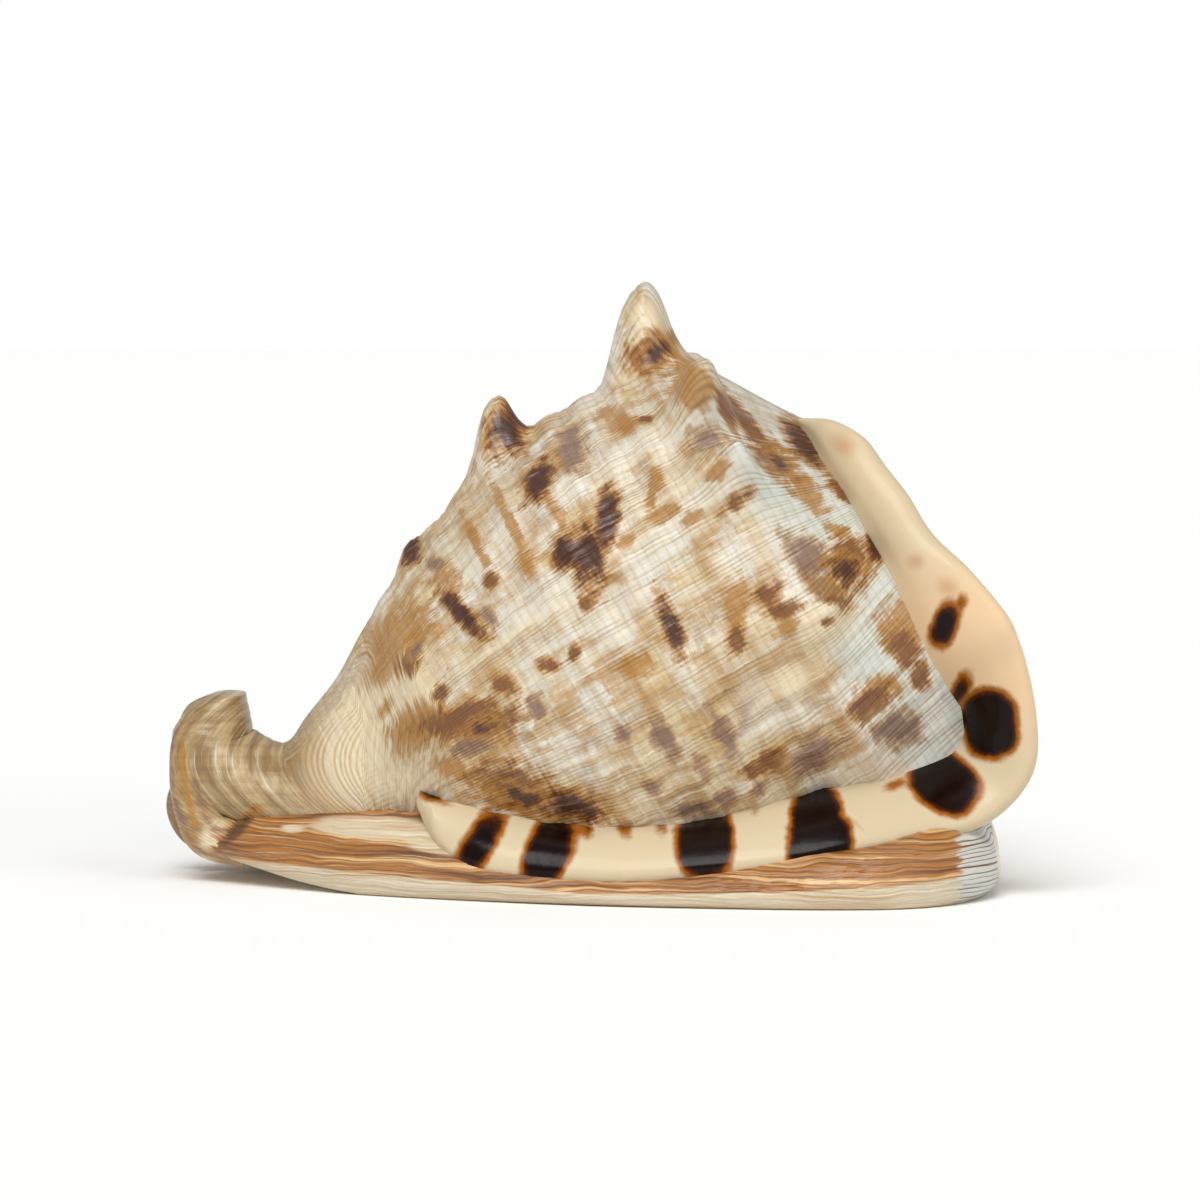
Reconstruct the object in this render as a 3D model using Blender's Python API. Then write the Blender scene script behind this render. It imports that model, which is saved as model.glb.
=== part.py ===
"""A horned helmet shell, a large sea snail shell of the kind sold as a conch.

It lies on the flat face of its mouth, as such a shell rests on a table. X runs from the beak at its front
end to the spire, Y from the edge of the shield to the outer lip, and Z up. The origin is under the middle
of the shell, on the table. Lengths in this file are in millimetres and angles in degrees.
"""

import bisect
import math

import bmesh
import bpy
from mathutils import Vector

MM = 0.001
# The measures below run from the middle of the shell seen from the front. The origin goes here in them.
MIDDLE = Vector((-2.0, 6.7, 0.0))

# The axis that the whorls wind round starts in the beak and climbs towards the spire.
AXIS_START = (-88.0, -2.0, 19.0)
AXIS_TILT = 30.0
SHOULDER_ALONG = 172.0
SUTURE_ALONG = 198.0

# Radius of the last whorl at its crest, by the distance along the axis.
WHORL_PROFILE = (
    (-24, 10), (-12, 19), (0, 27), (9, 32), (25, 38.5), (45, 50.5), (67, 61.5), (93, 71),
    (118, 75.5), (141, 75.5), (160, 76), (SHOULDER_ALONG, 73),
)
# How much fuller the whorl is than at its crest, by the turn about the axis. A turn of 0 is the crest,
# -90 the side of the shield and 90 the side of the outer lip.
WHORL_GIRTH = (
    (-180, 1.06), (-150, 1.15), (-135, 1.13), (-115, 1.07), (-90, 1.02), (-45, 0.985), (0, 1.0),
    (45, 1.04), (90, 1.10), (125, 1.14), (150, 1.12), (180, 1.06),
)
# Radius at which the sloping ramp above the shoulder meets the spire, by turn.
SUTURE_RADIUS = (
    (-180, 72), (-165, 79), (-150, 80), (-130, 72), (-112, 60), (-90, 49), (-60, 41), (-30, 37),
    (0, 36), (60, 40), (120, 52), (150, 62), (180, 72),
)

# Underneath, between these turns, the whorl sinks into the face of its mouth, down to this height.
SINK_FROM_TURN = 140.0
SINK_TO_TURN = 166.0
SUNK_HEIGHT = 9.0

# Horns and knobs: (along the axis, turn, height, half width, bluntness).
HORNS = (
    (160, 0, 22, 10.5, 2.6), (168, -40.5, 15, 10.0, 2.3), (165, -60, 10, 10.0, 2.0),
    (170, -99, 4.5, 10.0, 2.0), (165, 45, 18, 11.0, 2.4), (168, 85.5, 14, 10.0, 2.3),
    (170, 117, 9, 9.0, 2.0), (104, 0, 17, 9.5, 2.4), (108, 36, 11, 8.5, 2.2),
    (110, 67.5, 9, 8.5, 2.2), (111, 99, 6, 8.0, 2.0), (65, 4.5, 4.5, 7.0, 2.0),
    (67, 40.5, 4.5, 7.0, 2.0), (69, 76.5, 4, 7.0, 2.0),
)
HORN_LEAN = 0.58
# Folds that run down the whorl from its horns: (turn, lowest along, height, half width).
FOLDS = (
    (0, 96, 2.0, 8.0), (-40.5, 120, 2.2, 7.0), (-66, 98, 3.0, 7.0), (-101, 118, 2.4, 7.0),
    (45, 100, 2.0, 8.0), (85.5, 104, 2.0, 8.0),
)
FOLD_END_LENGTH = 22.0

# Where the rings of the last whorl lie along the axis.
WHORL_STATIONS = (
    -24, -16, -8, 0, 8, 17, 26, 35, 44, 53, 60, 66, 73, 81, 89, 96, 102, 107, 112, 118, 126, 135, 143, 150,
    155.5, 161, 166.5, SHOULDER_ALONG, 177, 183, 190, SUTURE_ALONG,
)

# The low round spire inside the suture, a cone with one spiral step and its knobs.
SPIRE_RADII = (34.5, 31.5, 28.5, 25.5, 22.5, 19.5, 16.5, 13.5, 10.5, 7.5, 4.5, 1.5)
SPIRE_FOOT_ALONG = 197.0
SPIRE_HEIGHT = 10.0
SPIRE_GROWTH = 1.7
SPIRE_STEP_HEIGHT = 0.10
SPIRE_KNOBS = 10
SPIRE_KNOB_HEIGHT = 2.4

# The outer lip of the stage before, left standing as a ring under the new whorl and up beside the
# spire: (x and z of its root, x and z of its rim, how far the rim stands out to the front).
OLD_LIP = (
    (-57.4, 32.3, -56.7, 29.0, 4), (-48.3, 29.0, -50.6, 16.4, 10), (-31.7, 25.5, -35.5, 10.1, 15),
    (0.0, 22.0, 0.0, 9.1, 19), (28.4, 23.8, 28.1, 11.4, 21), (53.7, 29.2, 57.6, 14.4, 23),
    (72.6, 33.9, 79.4, 18.1, 25), (90.1, 37.1, 98.2, 21.0, 26), (101.4, 43.3, 114.8, 23.9, 26),
    (109.4, 47.5, 126.5, 30.1, 25), (113.4, 52.1, 134.5, 41.3, 22), (114.6, 57.4, 134.9, 58.0, 18),
    (111.2, 66.4, 132.0, 76.8, 14), (104.2, 77.9, 126.9, 88.7, 12), (96.5, 93.9, 114.2, 104.2, 10),
    (88.9, 111.2, 102.5, 115.5, 8), (83.0, 120.7, 95.0, 127.7, 7), (77.2, 129.3, 87.7, 137.3, 6),
    (71.0, 137.8, 81.6, 146.3, 5), (67.1, 144.6, 74.7, 149.9, 4), (63.1, 148.6, 66.2, 150.2, 3),
)
OLD_LIP_THICKNESS = 8.0
OLD_LIP_BULGE = 3.0
OLD_LIP_ROOT = 0.45
OLD_LIP_STATIONS = 44

# The face of the mouth, a thick plate that the shell lies on: (x, y, height of its underside,
# height of its top, 0 where it is the ledge of the shield and 1 where it is the rolled outer lip).
FACE_EDGE = (
    (-132, -9, 9, 22, 0), (-117, -27, 7, 21, 0), (-97, -41, 2.5, 20, 0), (-76, -54, 0, 19, 0),
    (-45, -68, 0, 15, 0), (-5, -82, 0, 9.5, 0), (35, -90, 0, 11.5, 0), (67, -94, 0, 15, 0),
    (94, -92, 0, 19, 0), (113, -80, 0, 22, 0.1), (125, -60, 0, 22, 0.3), (128, -33, 0, 23, 0.4),
    (126, -5, 0, 24, 0.5), (122, 25, 0, 26, 0.6), (114, 55, 0, 28, 0.8), (97, 80, 0, 30, 1),
    (68, 97, 0, 32, 1), (30, 106, 0, 33, 1), (-10, 107, 0, 33, 1), (-48, 99, 0, 32, 1),
    (-82, 82, 1, 31, 1), (-110, 58, 4, 29, 0.9), (-128, 34, 7, 27, 0.7), (-136, 12, 8, 24, 0.4),
)
FACE_STATIONS = 66
# Edge of the plate as (inset, share of its height), from below upwards, as ledge and as rolled lip.
LEDGE_SECTION = ((3.0, 0.0), (0.6, 0.16), (0.0, 0.42), (3.0, 0.74), (8.0, 1.0), (20.0, 1.45))
ROLL_SECTION = ((9.0, 0.0), (1.6, 0.18), (0.0, 0.46), (3.5, 0.80), (12.0, 1.0), (25.0, 0.84))
FACE_MIDDLE = (10.0, 4.0)
FACE_FLAT_SHARE = 0.50
FACE_CROWN_SHARE = 0.45
FACE_CROWN_HEIGHT = 34.0

# The callus that closes the spire's end down to the face: its middle, its half sizes and how low it goes.
CALLUS_MIDDLE = (94.0, 15.0, 27.0)
CALLUS_HALF_SIZE = (31.0, 58.0, 51.0)
CALLUS_FLOOR = 3.0
CALLUS_SIDES = 24
CALLUS_STATIONS = 12

# The beak, a gutter that curls up at the front end: (x, z, half width in its bend, half width across).
BEAK = (
    (-72, 27, 24, 32), (-94, 25, 19, 28), (-109, 27, 17, 25), (-120, 34, 16, 22.5),
    (-126, 43, 14, 20), (-125.5, 50.5, 11, 17.5), (-121, 56.5, 7, 14),
)
BEAK_MIDDLE_Y = 2.0
BEAK_SIDES = 20
BEAK_STATIONS = 13
# The two rims of its gutter, each a blade that reaches back into it: (x, y, z, half thickness, reach).
BEAK_RIMS = (
    ((-126, -9, 56, 3.0, 4.5), (-134, -10, 46, 4.0, 6.5), (-134.5, -11, 34, 5.0, 8),
     (-132, -11, 23, 6.0, 8.5), (-127, -13, 14, 6.5, 8), (-114, -19, 11, 6.0, 7)),
    ((-129, 13, 40, 3.0, 5), (-135, 15, 31, 3.8, 8), (-138, 17, 21, 4.5, 9.5),
     (-133, 19, 12, 4.8, 8), (-121, 24, 9, 5.0, 7)),
)
RIM_SIDES = 8
RIM_STATIONS = 9

# The mouth, a long slot in the face: (x, y, half width, depth).
MOUTH = (
    (-118, 9, 4.5, 17), (-96, 20, 7.0, 18), (-66, 33, 8.5, 23), (-25, 42, 9.5, 40), (15, 45, 9.5, 48),
    (50, 43, 8.5, 44), (75, 37, 6.5, 34), (92, 30, 3.0, 20),
)
MOUTH_STATIONS = 18
MOUTH_WIDER_INSIDE = 1.25
CUT_BELOW = 12.0

# The gutter of the beak, which runs on from the mouth: (x, y, z, half width across, half width).
GUTTER = (
    (-104, 15, 2, 5.5, 9), (-122, 8, 6, 6.0, 9), (-136, 4, 18, 6.5, 9), (-142, 2, 36, 6.5, 9),
    (-140, 1.5, 52, 6.5, 9), (-131, 1, 70, 6.5, 9),
)
GUTTER_SIDES = 12
GUTTER_STATIONS = 14

# Ridges on both sides of the mouth: (how many, first x, step in x, how far they stand in, half width).
LIP_TEETH = (8, -34.0, 13.0, 4.0, 3.8)
COLUMELLA_FOLDS = (9, -40.0, 11.5, 3.2, 2.6)
TOOTH_HEIGHT = 9.0
TOOTH_SIDES = 6

TURN_STEP = 4.5
TURN_STEP_BELOW = 9.0
BELOW_TURN = 135.0
SHELL_SMOOTH_ANGLE = 40.0


def spline(knots, place):
    """The value at a place on a smooth curve through (place, value) knots."""
    places = [knot[0] for knot in knots]
    values = [knot[1] for knot in knots]
    if place <= places[0]:
        return values[0]
    if place >= places[-1]:
        return values[-1]
    left = bisect.bisect_right(places, place) - 1
    span = places[left + 1] - places[left]

    def slope(index):
        before = max(index - 1, 0)
        after = min(index + 1, len(knots) - 1)
        return (values[after] - values[before]) / (places[after] - places[before])

    part = (place - places[left]) / span
    square = part * part
    cube = square * part
    return ((2 * cube - 3 * square + 1) * values[left] + (cube - 2 * square + part) * span * slope(left)
            + (3 * square - 2 * cube) * values[left + 1] + (cube - square) * span * slope(left + 1))


def path_values(rows, share):
    """The row of values at a share of the way along evenly counted rows."""
    place = share * (len(rows) - 1)
    return [spline([(index, row[column]) for index, row in enumerate(rows)], place)
            for column in range(len(rows[0]))]


def closed_path_values(rows, share):
    """The row of values at a share of the way round a closed run of rows."""
    count = len(rows)
    wrapped = [rows[index % count] for index in range(-2, count + 3)]
    place = 2 + share * count
    return [spline([(index, row[column]) for index, row in enumerate(wrapped)], place)
            for column in range(len(rows[0]))]


def smooth_step(low, high, value):
    """0 below low, 1 above high and an even S between them."""
    part = min(max((value - low) / (high - low), 0.0), 1.0)
    return part * part * (3 - 2 * part)


def turn_gap(turn, other):
    """The shorter way between two turns about the axis."""
    return (turn - other + 180.0) % 360.0 - 180.0


def shell_point(along, turn, radius):
    """The place that lies along the axis, at a turn about it and a radius from it."""
    tilt = math.radians(AXIS_TILT)
    up = radius * math.cos(math.radians(turn))
    side = radius * math.sin(math.radians(turn))
    return Vector((
        AXIS_START[0] + along * math.cos(tilt) - up * math.sin(tilt),
        AXIS_START[1] + side,
        AXIS_START[2] + along * math.sin(tilt) + up * math.cos(tilt),
    ))


def whorl_radius(along, turn):
    """Radius of the last whorl without its horns, from the beak to the suture."""
    girth = 1 + (spline(WHORL_GIRTH, turn) - 1) * smooth_step(10, 70, along)
    wall = spline(WHORL_PROFILE, min(along, SHOULDER_ALONG)) * girth
    ramp = min(max((along - SHOULDER_ALONG) / (SUTURE_ALONG - SHOULDER_ALONG), 0.0), 1.0)
    return wall + (spline(SUTURE_RADIUS, turn) - wall) * ramp


def relief(along, turn, radius):
    """How far the horns, knobs and folds lift the whorl."""
    lift = 0.0
    for horn_along, horn_turn, height, half_width, bluntness in HORNS:
        across = math.radians(turn_gap(turn, horn_turn)) * radius
        away = math.hypot(along - horn_along, across) / half_width
        lift += height * math.exp(-away ** bluntness)
    for fold_turn, lowest, height, half_width in FOLDS:
        across = math.radians(turn_gap(turn, fold_turn)) * radius
        fade = smooth_step(lowest - FOLD_END_LENGTH, lowest + FOLD_END_LENGTH, along)
        fade *= 1 - smooth_step(SHOULDER_ALONG, SUTURE_ALONG, along)
        lift += height * fade * math.exp(-(across / half_width) ** 2)
    return lift


def settle(point, turn):
    """Brings the underside of the whorl down into the face of the mouth, as a wall."""
    sunk = smooth_step(SINK_FROM_TURN, SINK_TO_TURN, abs(turn))
    point.z += (min(point.z, SUNK_HEIGHT) - point.z) * sunk
    point.z = max(point.z, SUNK_HEIGHT)
    return point


def solids_from_rings(name, rings_of_all):
    """Closed solids in one object, each through rings with equal numbers of points, its ends filled."""
    bm = bmesh.new()
    for rings in rings_of_all:
        loops = [[bm.verts.new((Vector(point) - MIDDLE) * MM) for point in ring] for ring in rings]
        count = len(loops[0])
        for lower, upper in zip(loops, loops[1:]):
            for index in range(count):
                after = (index + 1) % count
                bm.faces.new((lower[index], lower[after], upper[after], upper[index]))
        bm.faces.new(reversed(loops[0]))
        bm.faces.new(loops[-1])
    bmesh.ops.recalc_face_normals(bm, faces=bm.faces[:])
    mesh = bpy.data.meshes.new(name)
    bm.to_mesh(mesh)
    bm.free()
    obj = bpy.data.objects.new(name, mesh)
    bpy.context.scene.collection.objects.link(obj)
    return obj


def solid_from_rings(name, rings):
    """One closed solid through rings with equal numbers of points."""
    return solids_from_rings(name, [rings])


def shell_material(name, colour, roughness):
    """A shell finish from its colour and roughness."""
    material = bpy.data.materials.new(name)
    material.use_nodes = True
    shader = material.node_tree.nodes["Principled BSDF"]
    shader.inputs["Base Color"].default_value = (*colour, 1.0)
    shader.inputs["Roughness"].default_value = roughness
    shader.inputs["Metallic"].default_value = 0.0
    return material


def turns():
    """The turns of the whorl's columns, right round the axis and wider apart where it is hidden below."""
    below = round((180 - BELOW_TURN) / TURN_STEP_BELOW)
    seen = round(2 * BELOW_TURN / TURN_STEP)
    return ([-180.0 + TURN_STEP_BELOW * index for index in range(below)]
            + [-BELOW_TURN + TURN_STEP * index for index in range(seen)]
            + [BELOW_TURN + TURN_STEP_BELOW * index for index in range(below)])


def spire_along(radius, turn):
    """Height of the spire along the axis, with its whorls wound in one spiral."""
    whorl = math.log(SPIRE_RADII[0] / radius) / math.log(SPIRE_GROWTH) - turn / 360.0
    across = (whorl % 1.0) ** 0.7
    step = 0.5 - 0.5 * math.cos(math.tau * across)
    knob = max(math.cos(math.radians(turn * SPIRE_KNOBS)), 0.0) * math.exp(-((across - 0.42) / 0.16) ** 2)
    size = radius / SPIRE_RADII[0]
    cone = SPIRE_FOOT_ALONG + SPIRE_HEIGHT * (1 - size)
    return cone + radius * SPIRE_STEP_HEIGHT * step + SPIRE_KNOB_HEIGHT * size * knob


def make_whorl():
    """The last whorl with its horns, its ramp and the low spire."""
    rings = []
    for along in WHORL_STATIONS:
        ring = []
        for turn in turns():
            radius = whorl_radius(along, turn)
            lift = relief(along, turn, radius)
            ring.append(settle(shell_point(along + HORN_LEAN * lift, turn, radius + lift), turn))
        rings.append(ring)
    for radius in SPIRE_RADII:
        rings.append([shell_point(spire_along(radius, turn), turn, radius) for turn in turns()])
    return solid_from_rings("whorl", rings)


def whorl_front(x, z):
    """The y of the whorl's wall on the shield's side, seen from the front at x and z."""
    tilt = math.radians(AXIS_TILT)
    right = x - AXIS_START[0]
    up = z - AXIS_START[2]
    along = right * math.cos(tilt) + up * math.sin(tilt)
    height = -right * math.sin(tilt) + up * math.cos(tilt)
    turn = -90.0
    for _ in range(40):
        radius = whorl_radius(along, turn)
        ratio = min(max(height / radius, -0.999), 0.999)
        turn = 0.5 * turn - 0.5 * math.degrees(math.acos(ratio))
    return AXIS_START[1] + whorl_radius(along, turn) * math.sin(math.radians(turn))


def make_old_lip():
    """The barred ring of the stage before, from its point on the left to its end beside the spire."""
    rows = []
    for root_x, root_z, rim_x, rim_z, forward in OLD_LIP:
        root_y = whorl_front(root_x, root_z)
        rows.append((root_x, root_y, root_z, rim_x, root_y - forward, rim_z))
    samples = [path_values(rows, index / (OLD_LIP_STATIONS - 1)) for index in range(OLD_LIP_STATIONS)]
    roots = [Vector(sample[:3]) for sample in samples]
    rims = [Vector(sample[3:]) for sample in samples]
    middles = [(root + rim) / 2 for root, rim in zip(roots, rims)]
    rings = []
    for index, (root, rim) in enumerate(zip(roots, rims)):
        forward = middles[min(index + 1, len(middles) - 1)] - middles[max(index - 1, 0)]
        width = rim - root
        outward = width.cross(forward).normalized()
        if outward.y > 0:
            outward = -outward
        size = min(width.length / 12.0, 1.0)
        front = OLD_LIP_BULGE * size
        back = OLD_LIP_THICKNESS * size
        section = ((-OLD_LIP_ROOT, -0.3 * back), (0.0, 0.3 * front), (0.3, front), (0.62, 1.1 * front),
                   (0.86, 0.6 * front), (1.0, -0.25 * back), (0.95, -0.75 * back), (0.75, -back),
                   (-OLD_LIP_ROOT, -back))
        rings.append([root + width * across + outward * lift for across, lift in section])
    return solid_from_rings("old_lip", rings)


def make_face():
    """The thick plate of the mouth: the shield's ledge in front and the rolled outer lip behind."""
    samples = [closed_path_values(FACE_EDGE, index / FACE_STATIONS) for index in range(FACE_STATIONS)]
    plan = [Vector((sample[0], sample[1], 0.0)) for sample in samples]
    middle = Vector((FACE_MIDDLE[0], FACE_MIDDLE[1], 0.0))
    inner = [middle + (point - middle) * FACE_FLAT_SHARE for point in plan]
    rings = [inner]
    count = len(plan)
    for (ledge_in, ledge_up), (roll_in, roll_up) in zip(LEDGE_SECTION, ROLL_SECTION):
        ring = []
        for index, sample in enumerate(samples):
            along = plan[(index + 1) % count] - plan[index - 1]
            inward = Vector((-along.y, along.x, 0.0)).normalized()
            floor, top, roll = sample[2:]
            roll = min(max(roll, 0.0), 1.0)
            floor = max(floor, 0.0) if floor > 0.2 else 0.0
            inset = ledge_in + (roll_in - ledge_in) * roll
            up = ledge_up + (roll_up - ledge_up) * roll
            point = plan[index] + inward * inset
            point.z = floor + (top - floor) * up
            ring.append(point)
        rings.append(ring)
    top_ring = [middle + (point - middle) * FACE_CROWN_SHARE for point in plan]
    for point in top_ring:
        point.z = FACE_CROWN_HEIGHT
    rings.append(top_ring)
    return solid_from_rings("face", rings)


def make_callus():
    """The rounded mass between the face and the spire, built up in layers like the shield."""
    rings = []
    for index in range(1, CALLUS_STATIONS):
        lean = math.pi * index / CALLUS_STATIONS
        ring = []
        for side in range(CALLUS_SIDES):
            angle = math.tau * side / CALLUS_SIDES
            way = (math.sin(lean) * math.cos(angle), math.sin(lean) * math.sin(angle), math.cos(lean))
            x, y, z = [middle + half * share
                       for middle, half, share in zip(CALLUS_MIDDLE, CALLUS_HALF_SIZE, way)]
            ring.append((x, y, max(z, CALLUS_FLOOR)))
        rings.append(ring)
    return solid_from_rings("callus", rings)


def make_beak():
    """The curled beak at the front end, before its gutter is cut."""
    samples = [path_values(BEAK, index / (BEAK_STATIONS - 1)) for index in range(BEAK_STATIONS)]
    rings = []
    for index, (x, z, half_bend, half_across) in enumerate(samples):
        before = samples[max(index - 1, 0)]
        after = samples[min(index + 1, len(samples) - 1)]
        ahead = Vector((after[0] - before[0], 0.0, after[1] - before[1])).normalized()
        bend = Vector((-ahead.z, 0.0, ahead.x))
        ring = []
        for side in range(BEAK_SIDES):
            angle = math.tau * side / BEAK_SIDES
            ring.append(Vector((x, BEAK_MIDDLE_Y, z)) + bend * (half_bend * math.cos(angle))
                        + Vector((0.0, half_across * math.sin(angle), 0.0)))
        rings.append(ring)
    return solid_from_rings("beak", rings)


def make_beak_rim(name, path):
    """A rounded blade along one side of the gutter."""
    samples = [path_values(path, index / (RIM_STATIONS - 1)) for index in range(RIM_STATIONS)]
    rings = []
    for index, (x, y, z, half, reach) in enumerate(samples):
        before = samples[max(index - 1, 0)]
        after = samples[min(index + 1, RIM_STATIONS - 1)]
        ahead = Vector((after[0] - before[0], 0.0, after[2] - before[2])).normalized()
        inward = Vector((-ahead.z, 0.0, ahead.x))
        middle = Vector((x, y, z)) + inward * (reach - half)
        ring = []
        for side in range(RIM_SIDES):
            angle = math.tau * side / RIM_SIDES
            ring.append(middle + inward * (reach * math.cos(angle)) + Vector((0.0, half * math.sin(angle), 0.0)))
        rings.append(ring)
    return solid_from_rings(name, rings)


def mouth_middle(x):
    """The y and the half width of the mouth at x."""
    return (spline([(row[0], row[1]) for row in MOUTH], x), spline([(row[0], row[2]) for row in MOUTH], x))


def make_ridges(name, ridges, side):
    """The teeth of the outer lip, at side 1, or the folds of the columella, at side -1."""
    count, first, step, stand, half = ridges
    rings_of_all = []
    for index in range(count):
        x = first + step * index
        middle, half_mouth = mouth_middle(x)
        wall = middle + side * (half_mouth + 1.0)
        shrink = 1.0 - 0.35 * abs(2 * index / (count - 1) - 1)
        tip = wall - side * (stand * shrink + 1.0)
        base = wall + side * 3.0
        rings = []
        for share in (0.0, 0.55, 0.85, 1.0):
            across = base + (tip - base) * share
            size = math.sqrt(max(1.0 - (share * 0.93) ** 2, 0.0))
            rings.append([Vector((x + half * size * math.cos(angle), across,
                                  TOOTH_HEIGHT * (0.62 + 0.52 * size * math.sin(angle))))
                          for angle in (math.tau * part / TOOTH_SIDES for part in range(TOOTH_SIDES))])
        rings_of_all.append(rings)
    return solids_from_rings(name, rings_of_all)


def make_mouth():
    """The long slot of the mouth, which is cut out of the face."""
    rings = []
    for index in range(MOUTH_STATIONS):
        x, y, half, depth = path_values(MOUTH, index / (MOUTH_STATIONS - 1))
        wide = half * MOUTH_WIDER_INSIDE
        section = ((-half, -CUT_BELOW), (half, -CUT_BELOW), (half, 6.0), (wide, 0.45 * depth),
                   (0.75 * wide, 0.85 * depth), (0.0, depth), (-0.75 * wide, 0.85 * depth),
                   (-wide, 0.45 * depth), (-half, 6.0))
        rings.append([Vector((x, y + across, up)) for across, up in section])
    return solid_from_rings("mouth", rings)


def make_gutter():
    """The round channel along the outside of the beak, which is cut out of it."""
    samples = [path_values(GUTTER, index / (GUTTER_STATIONS - 1)) for index in range(GUTTER_STATIONS)]
    rings = []
    for index, (x, y, z, half_across, half_bend) in enumerate(samples):
        before = samples[max(index - 1, 0)]
        after = samples[min(index + 1, len(samples) - 1)]
        ahead = Vector((after[0] - before[0], 0.0, after[2] - before[2])).normalized()
        bend = Vector((-ahead.z, 0.0, ahead.x))
        ring = []
        for side in range(GUTTER_SIDES):
            angle = math.tau * side / GUTTER_SIDES
            ring.append(Vector((x, y, z)) + bend * (half_bend * math.cos(angle))
                        + Vector((0.0, half_across * math.sin(angle), 0.0)))
        rings.append(ring)
    return solid_from_rings("gutter", rings)


def combine(target, other, operation):
    """Joins another solid to the target, or cuts it out, and keeps the other only as a guide."""
    modifier = target.modifiers.new(f"{operation.lower()} {other.name}", "BOOLEAN")
    modifier.operation = operation
    modifier.solver = "EXACT"
    modifier.object = other
    other.hide_render = True
    other.display_type = "WIRE"


def main():
    """Builds the shell as one solid."""
    for old in list(bpy.data.objects):
        bpy.data.objects.remove(old)
    shell = make_whorl()
    shell.name = "helmet_shell"
    shell.data.materials.append(shell_material("mottled shell", (0.68, 0.55, 0.38), 0.35))
    combine(shell, make_face(), "UNION")
    combine(shell, make_callus(), "UNION")
    combine(shell, make_beak(), "UNION")
    combine(shell, make_beak_rim("near_rim", BEAK_RIMS[0]), "UNION")
    combine(shell, make_beak_rim("far_rim", BEAK_RIMS[1]), "UNION")
    combine(shell, make_old_lip(), "UNION")
    mouth = make_mouth()
    combine(mouth, make_gutter(), "UNION")
    combine(shell, mouth, "DIFFERENCE")
    combine(shell, make_ridges("lip_teeth", LIP_TEETH, 1), "UNION")
    combine(shell, make_ridges("columella_folds", COLUMELLA_FOLDS, -1), "UNION")
    shell.data.shade_smooth()
    shell.data.set_sharp_from_angle(angle=math.radians(SHELL_SMOOTH_ANGLE))


main()
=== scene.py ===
import math

import bpy
import numpy as np
from bpy.props import FloatProperty, FloatVectorProperty, PointerProperty
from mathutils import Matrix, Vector
from mathutils.bvhtree import BVHTree


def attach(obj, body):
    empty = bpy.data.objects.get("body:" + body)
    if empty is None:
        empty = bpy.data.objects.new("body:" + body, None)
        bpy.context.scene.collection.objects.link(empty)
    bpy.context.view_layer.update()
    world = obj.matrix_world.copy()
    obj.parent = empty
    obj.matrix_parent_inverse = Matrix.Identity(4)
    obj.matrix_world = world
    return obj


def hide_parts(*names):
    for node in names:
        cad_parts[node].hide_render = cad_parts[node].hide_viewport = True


bl_info = {
    "name": "Horned helmet shell",
    "version": (1, 0, 0),
    "blender": (4, 5, 0),
    "location": "3D View > Sidebar > Helmet shell",
    "description": "Builds a horned helmet shell with its mottled whorl, curled beak, barred lips and shield",
    "category": "Add Mesh",
}

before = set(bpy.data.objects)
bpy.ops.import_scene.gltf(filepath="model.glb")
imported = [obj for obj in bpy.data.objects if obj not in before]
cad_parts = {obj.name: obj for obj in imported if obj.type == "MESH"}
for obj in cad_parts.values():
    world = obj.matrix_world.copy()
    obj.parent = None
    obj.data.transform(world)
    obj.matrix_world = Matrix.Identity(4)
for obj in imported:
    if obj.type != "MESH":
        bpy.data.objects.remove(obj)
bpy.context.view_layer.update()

# The looks of a horned helmet shell that lies on the flat face of its mouth. Lengths here are in
# millimetres and angles in degrees, and the places are measured from the middle of the shell as it is
# seen from the front.
MM = 0.001
# Where the origin of the frame lies in the measures below.
MIDDLE = np.array((-2.0, 6.7, 0.0))

# The axis that the whorls wind round starts in the beak and climbs towards the spire.
AXIS_START = np.array((-88.0, -2.0, 19.0))
AXIS_TILT = math.radians(30.0)
SHOULDER_ALONG = 172.0
SUTURE_ALONG = 198.0

# Radius of the last whorl at its crest, by the distance along the axis.
WHORL_PROFILE = (
    (-24, 10), (-12, 19), (0, 27), (9, 32), (25, 38.5), (45, 50.5), (67, 61.5), (93, 71),
    (118, 75.5), (141, 75.5), (160, 76), (SHOULDER_ALONG, 73),
)
# How much fuller the whorl is than at its crest, by the turn about the axis. A turn of 0 is the crest,
# -90 the side of the shield and 90 the side of the outer lip.
WHORL_GIRTH = (
    (-180, 1.06), (-150, 1.15), (-135, 1.13), (-115, 1.07), (-90, 1.02), (-45, 0.985), (0, 1.0),
    (45, 1.04), (90, 1.10), (125, 1.14), (150, 1.12), (180, 1.06),
)
# Radius at which the sloping ramp above the shoulder meets the spire, by turn.
SUTURE_RADIUS = (
    (-180, 72), (-165, 79), (-150, 80), (-130, 72), (-112, 60), (-90, 49), (-60, 41), (-30, 37),
    (0, 36), (60, 40), (120, 52), (150, 62), (180, 72),
)
# Underneath, between these turns, the whorl sinks into the face of its mouth, down to this height.
SINK_FROM_TURN = 140.0
SINK_TO_TURN = 166.0
SUNK_HEIGHT = 9.0

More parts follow.
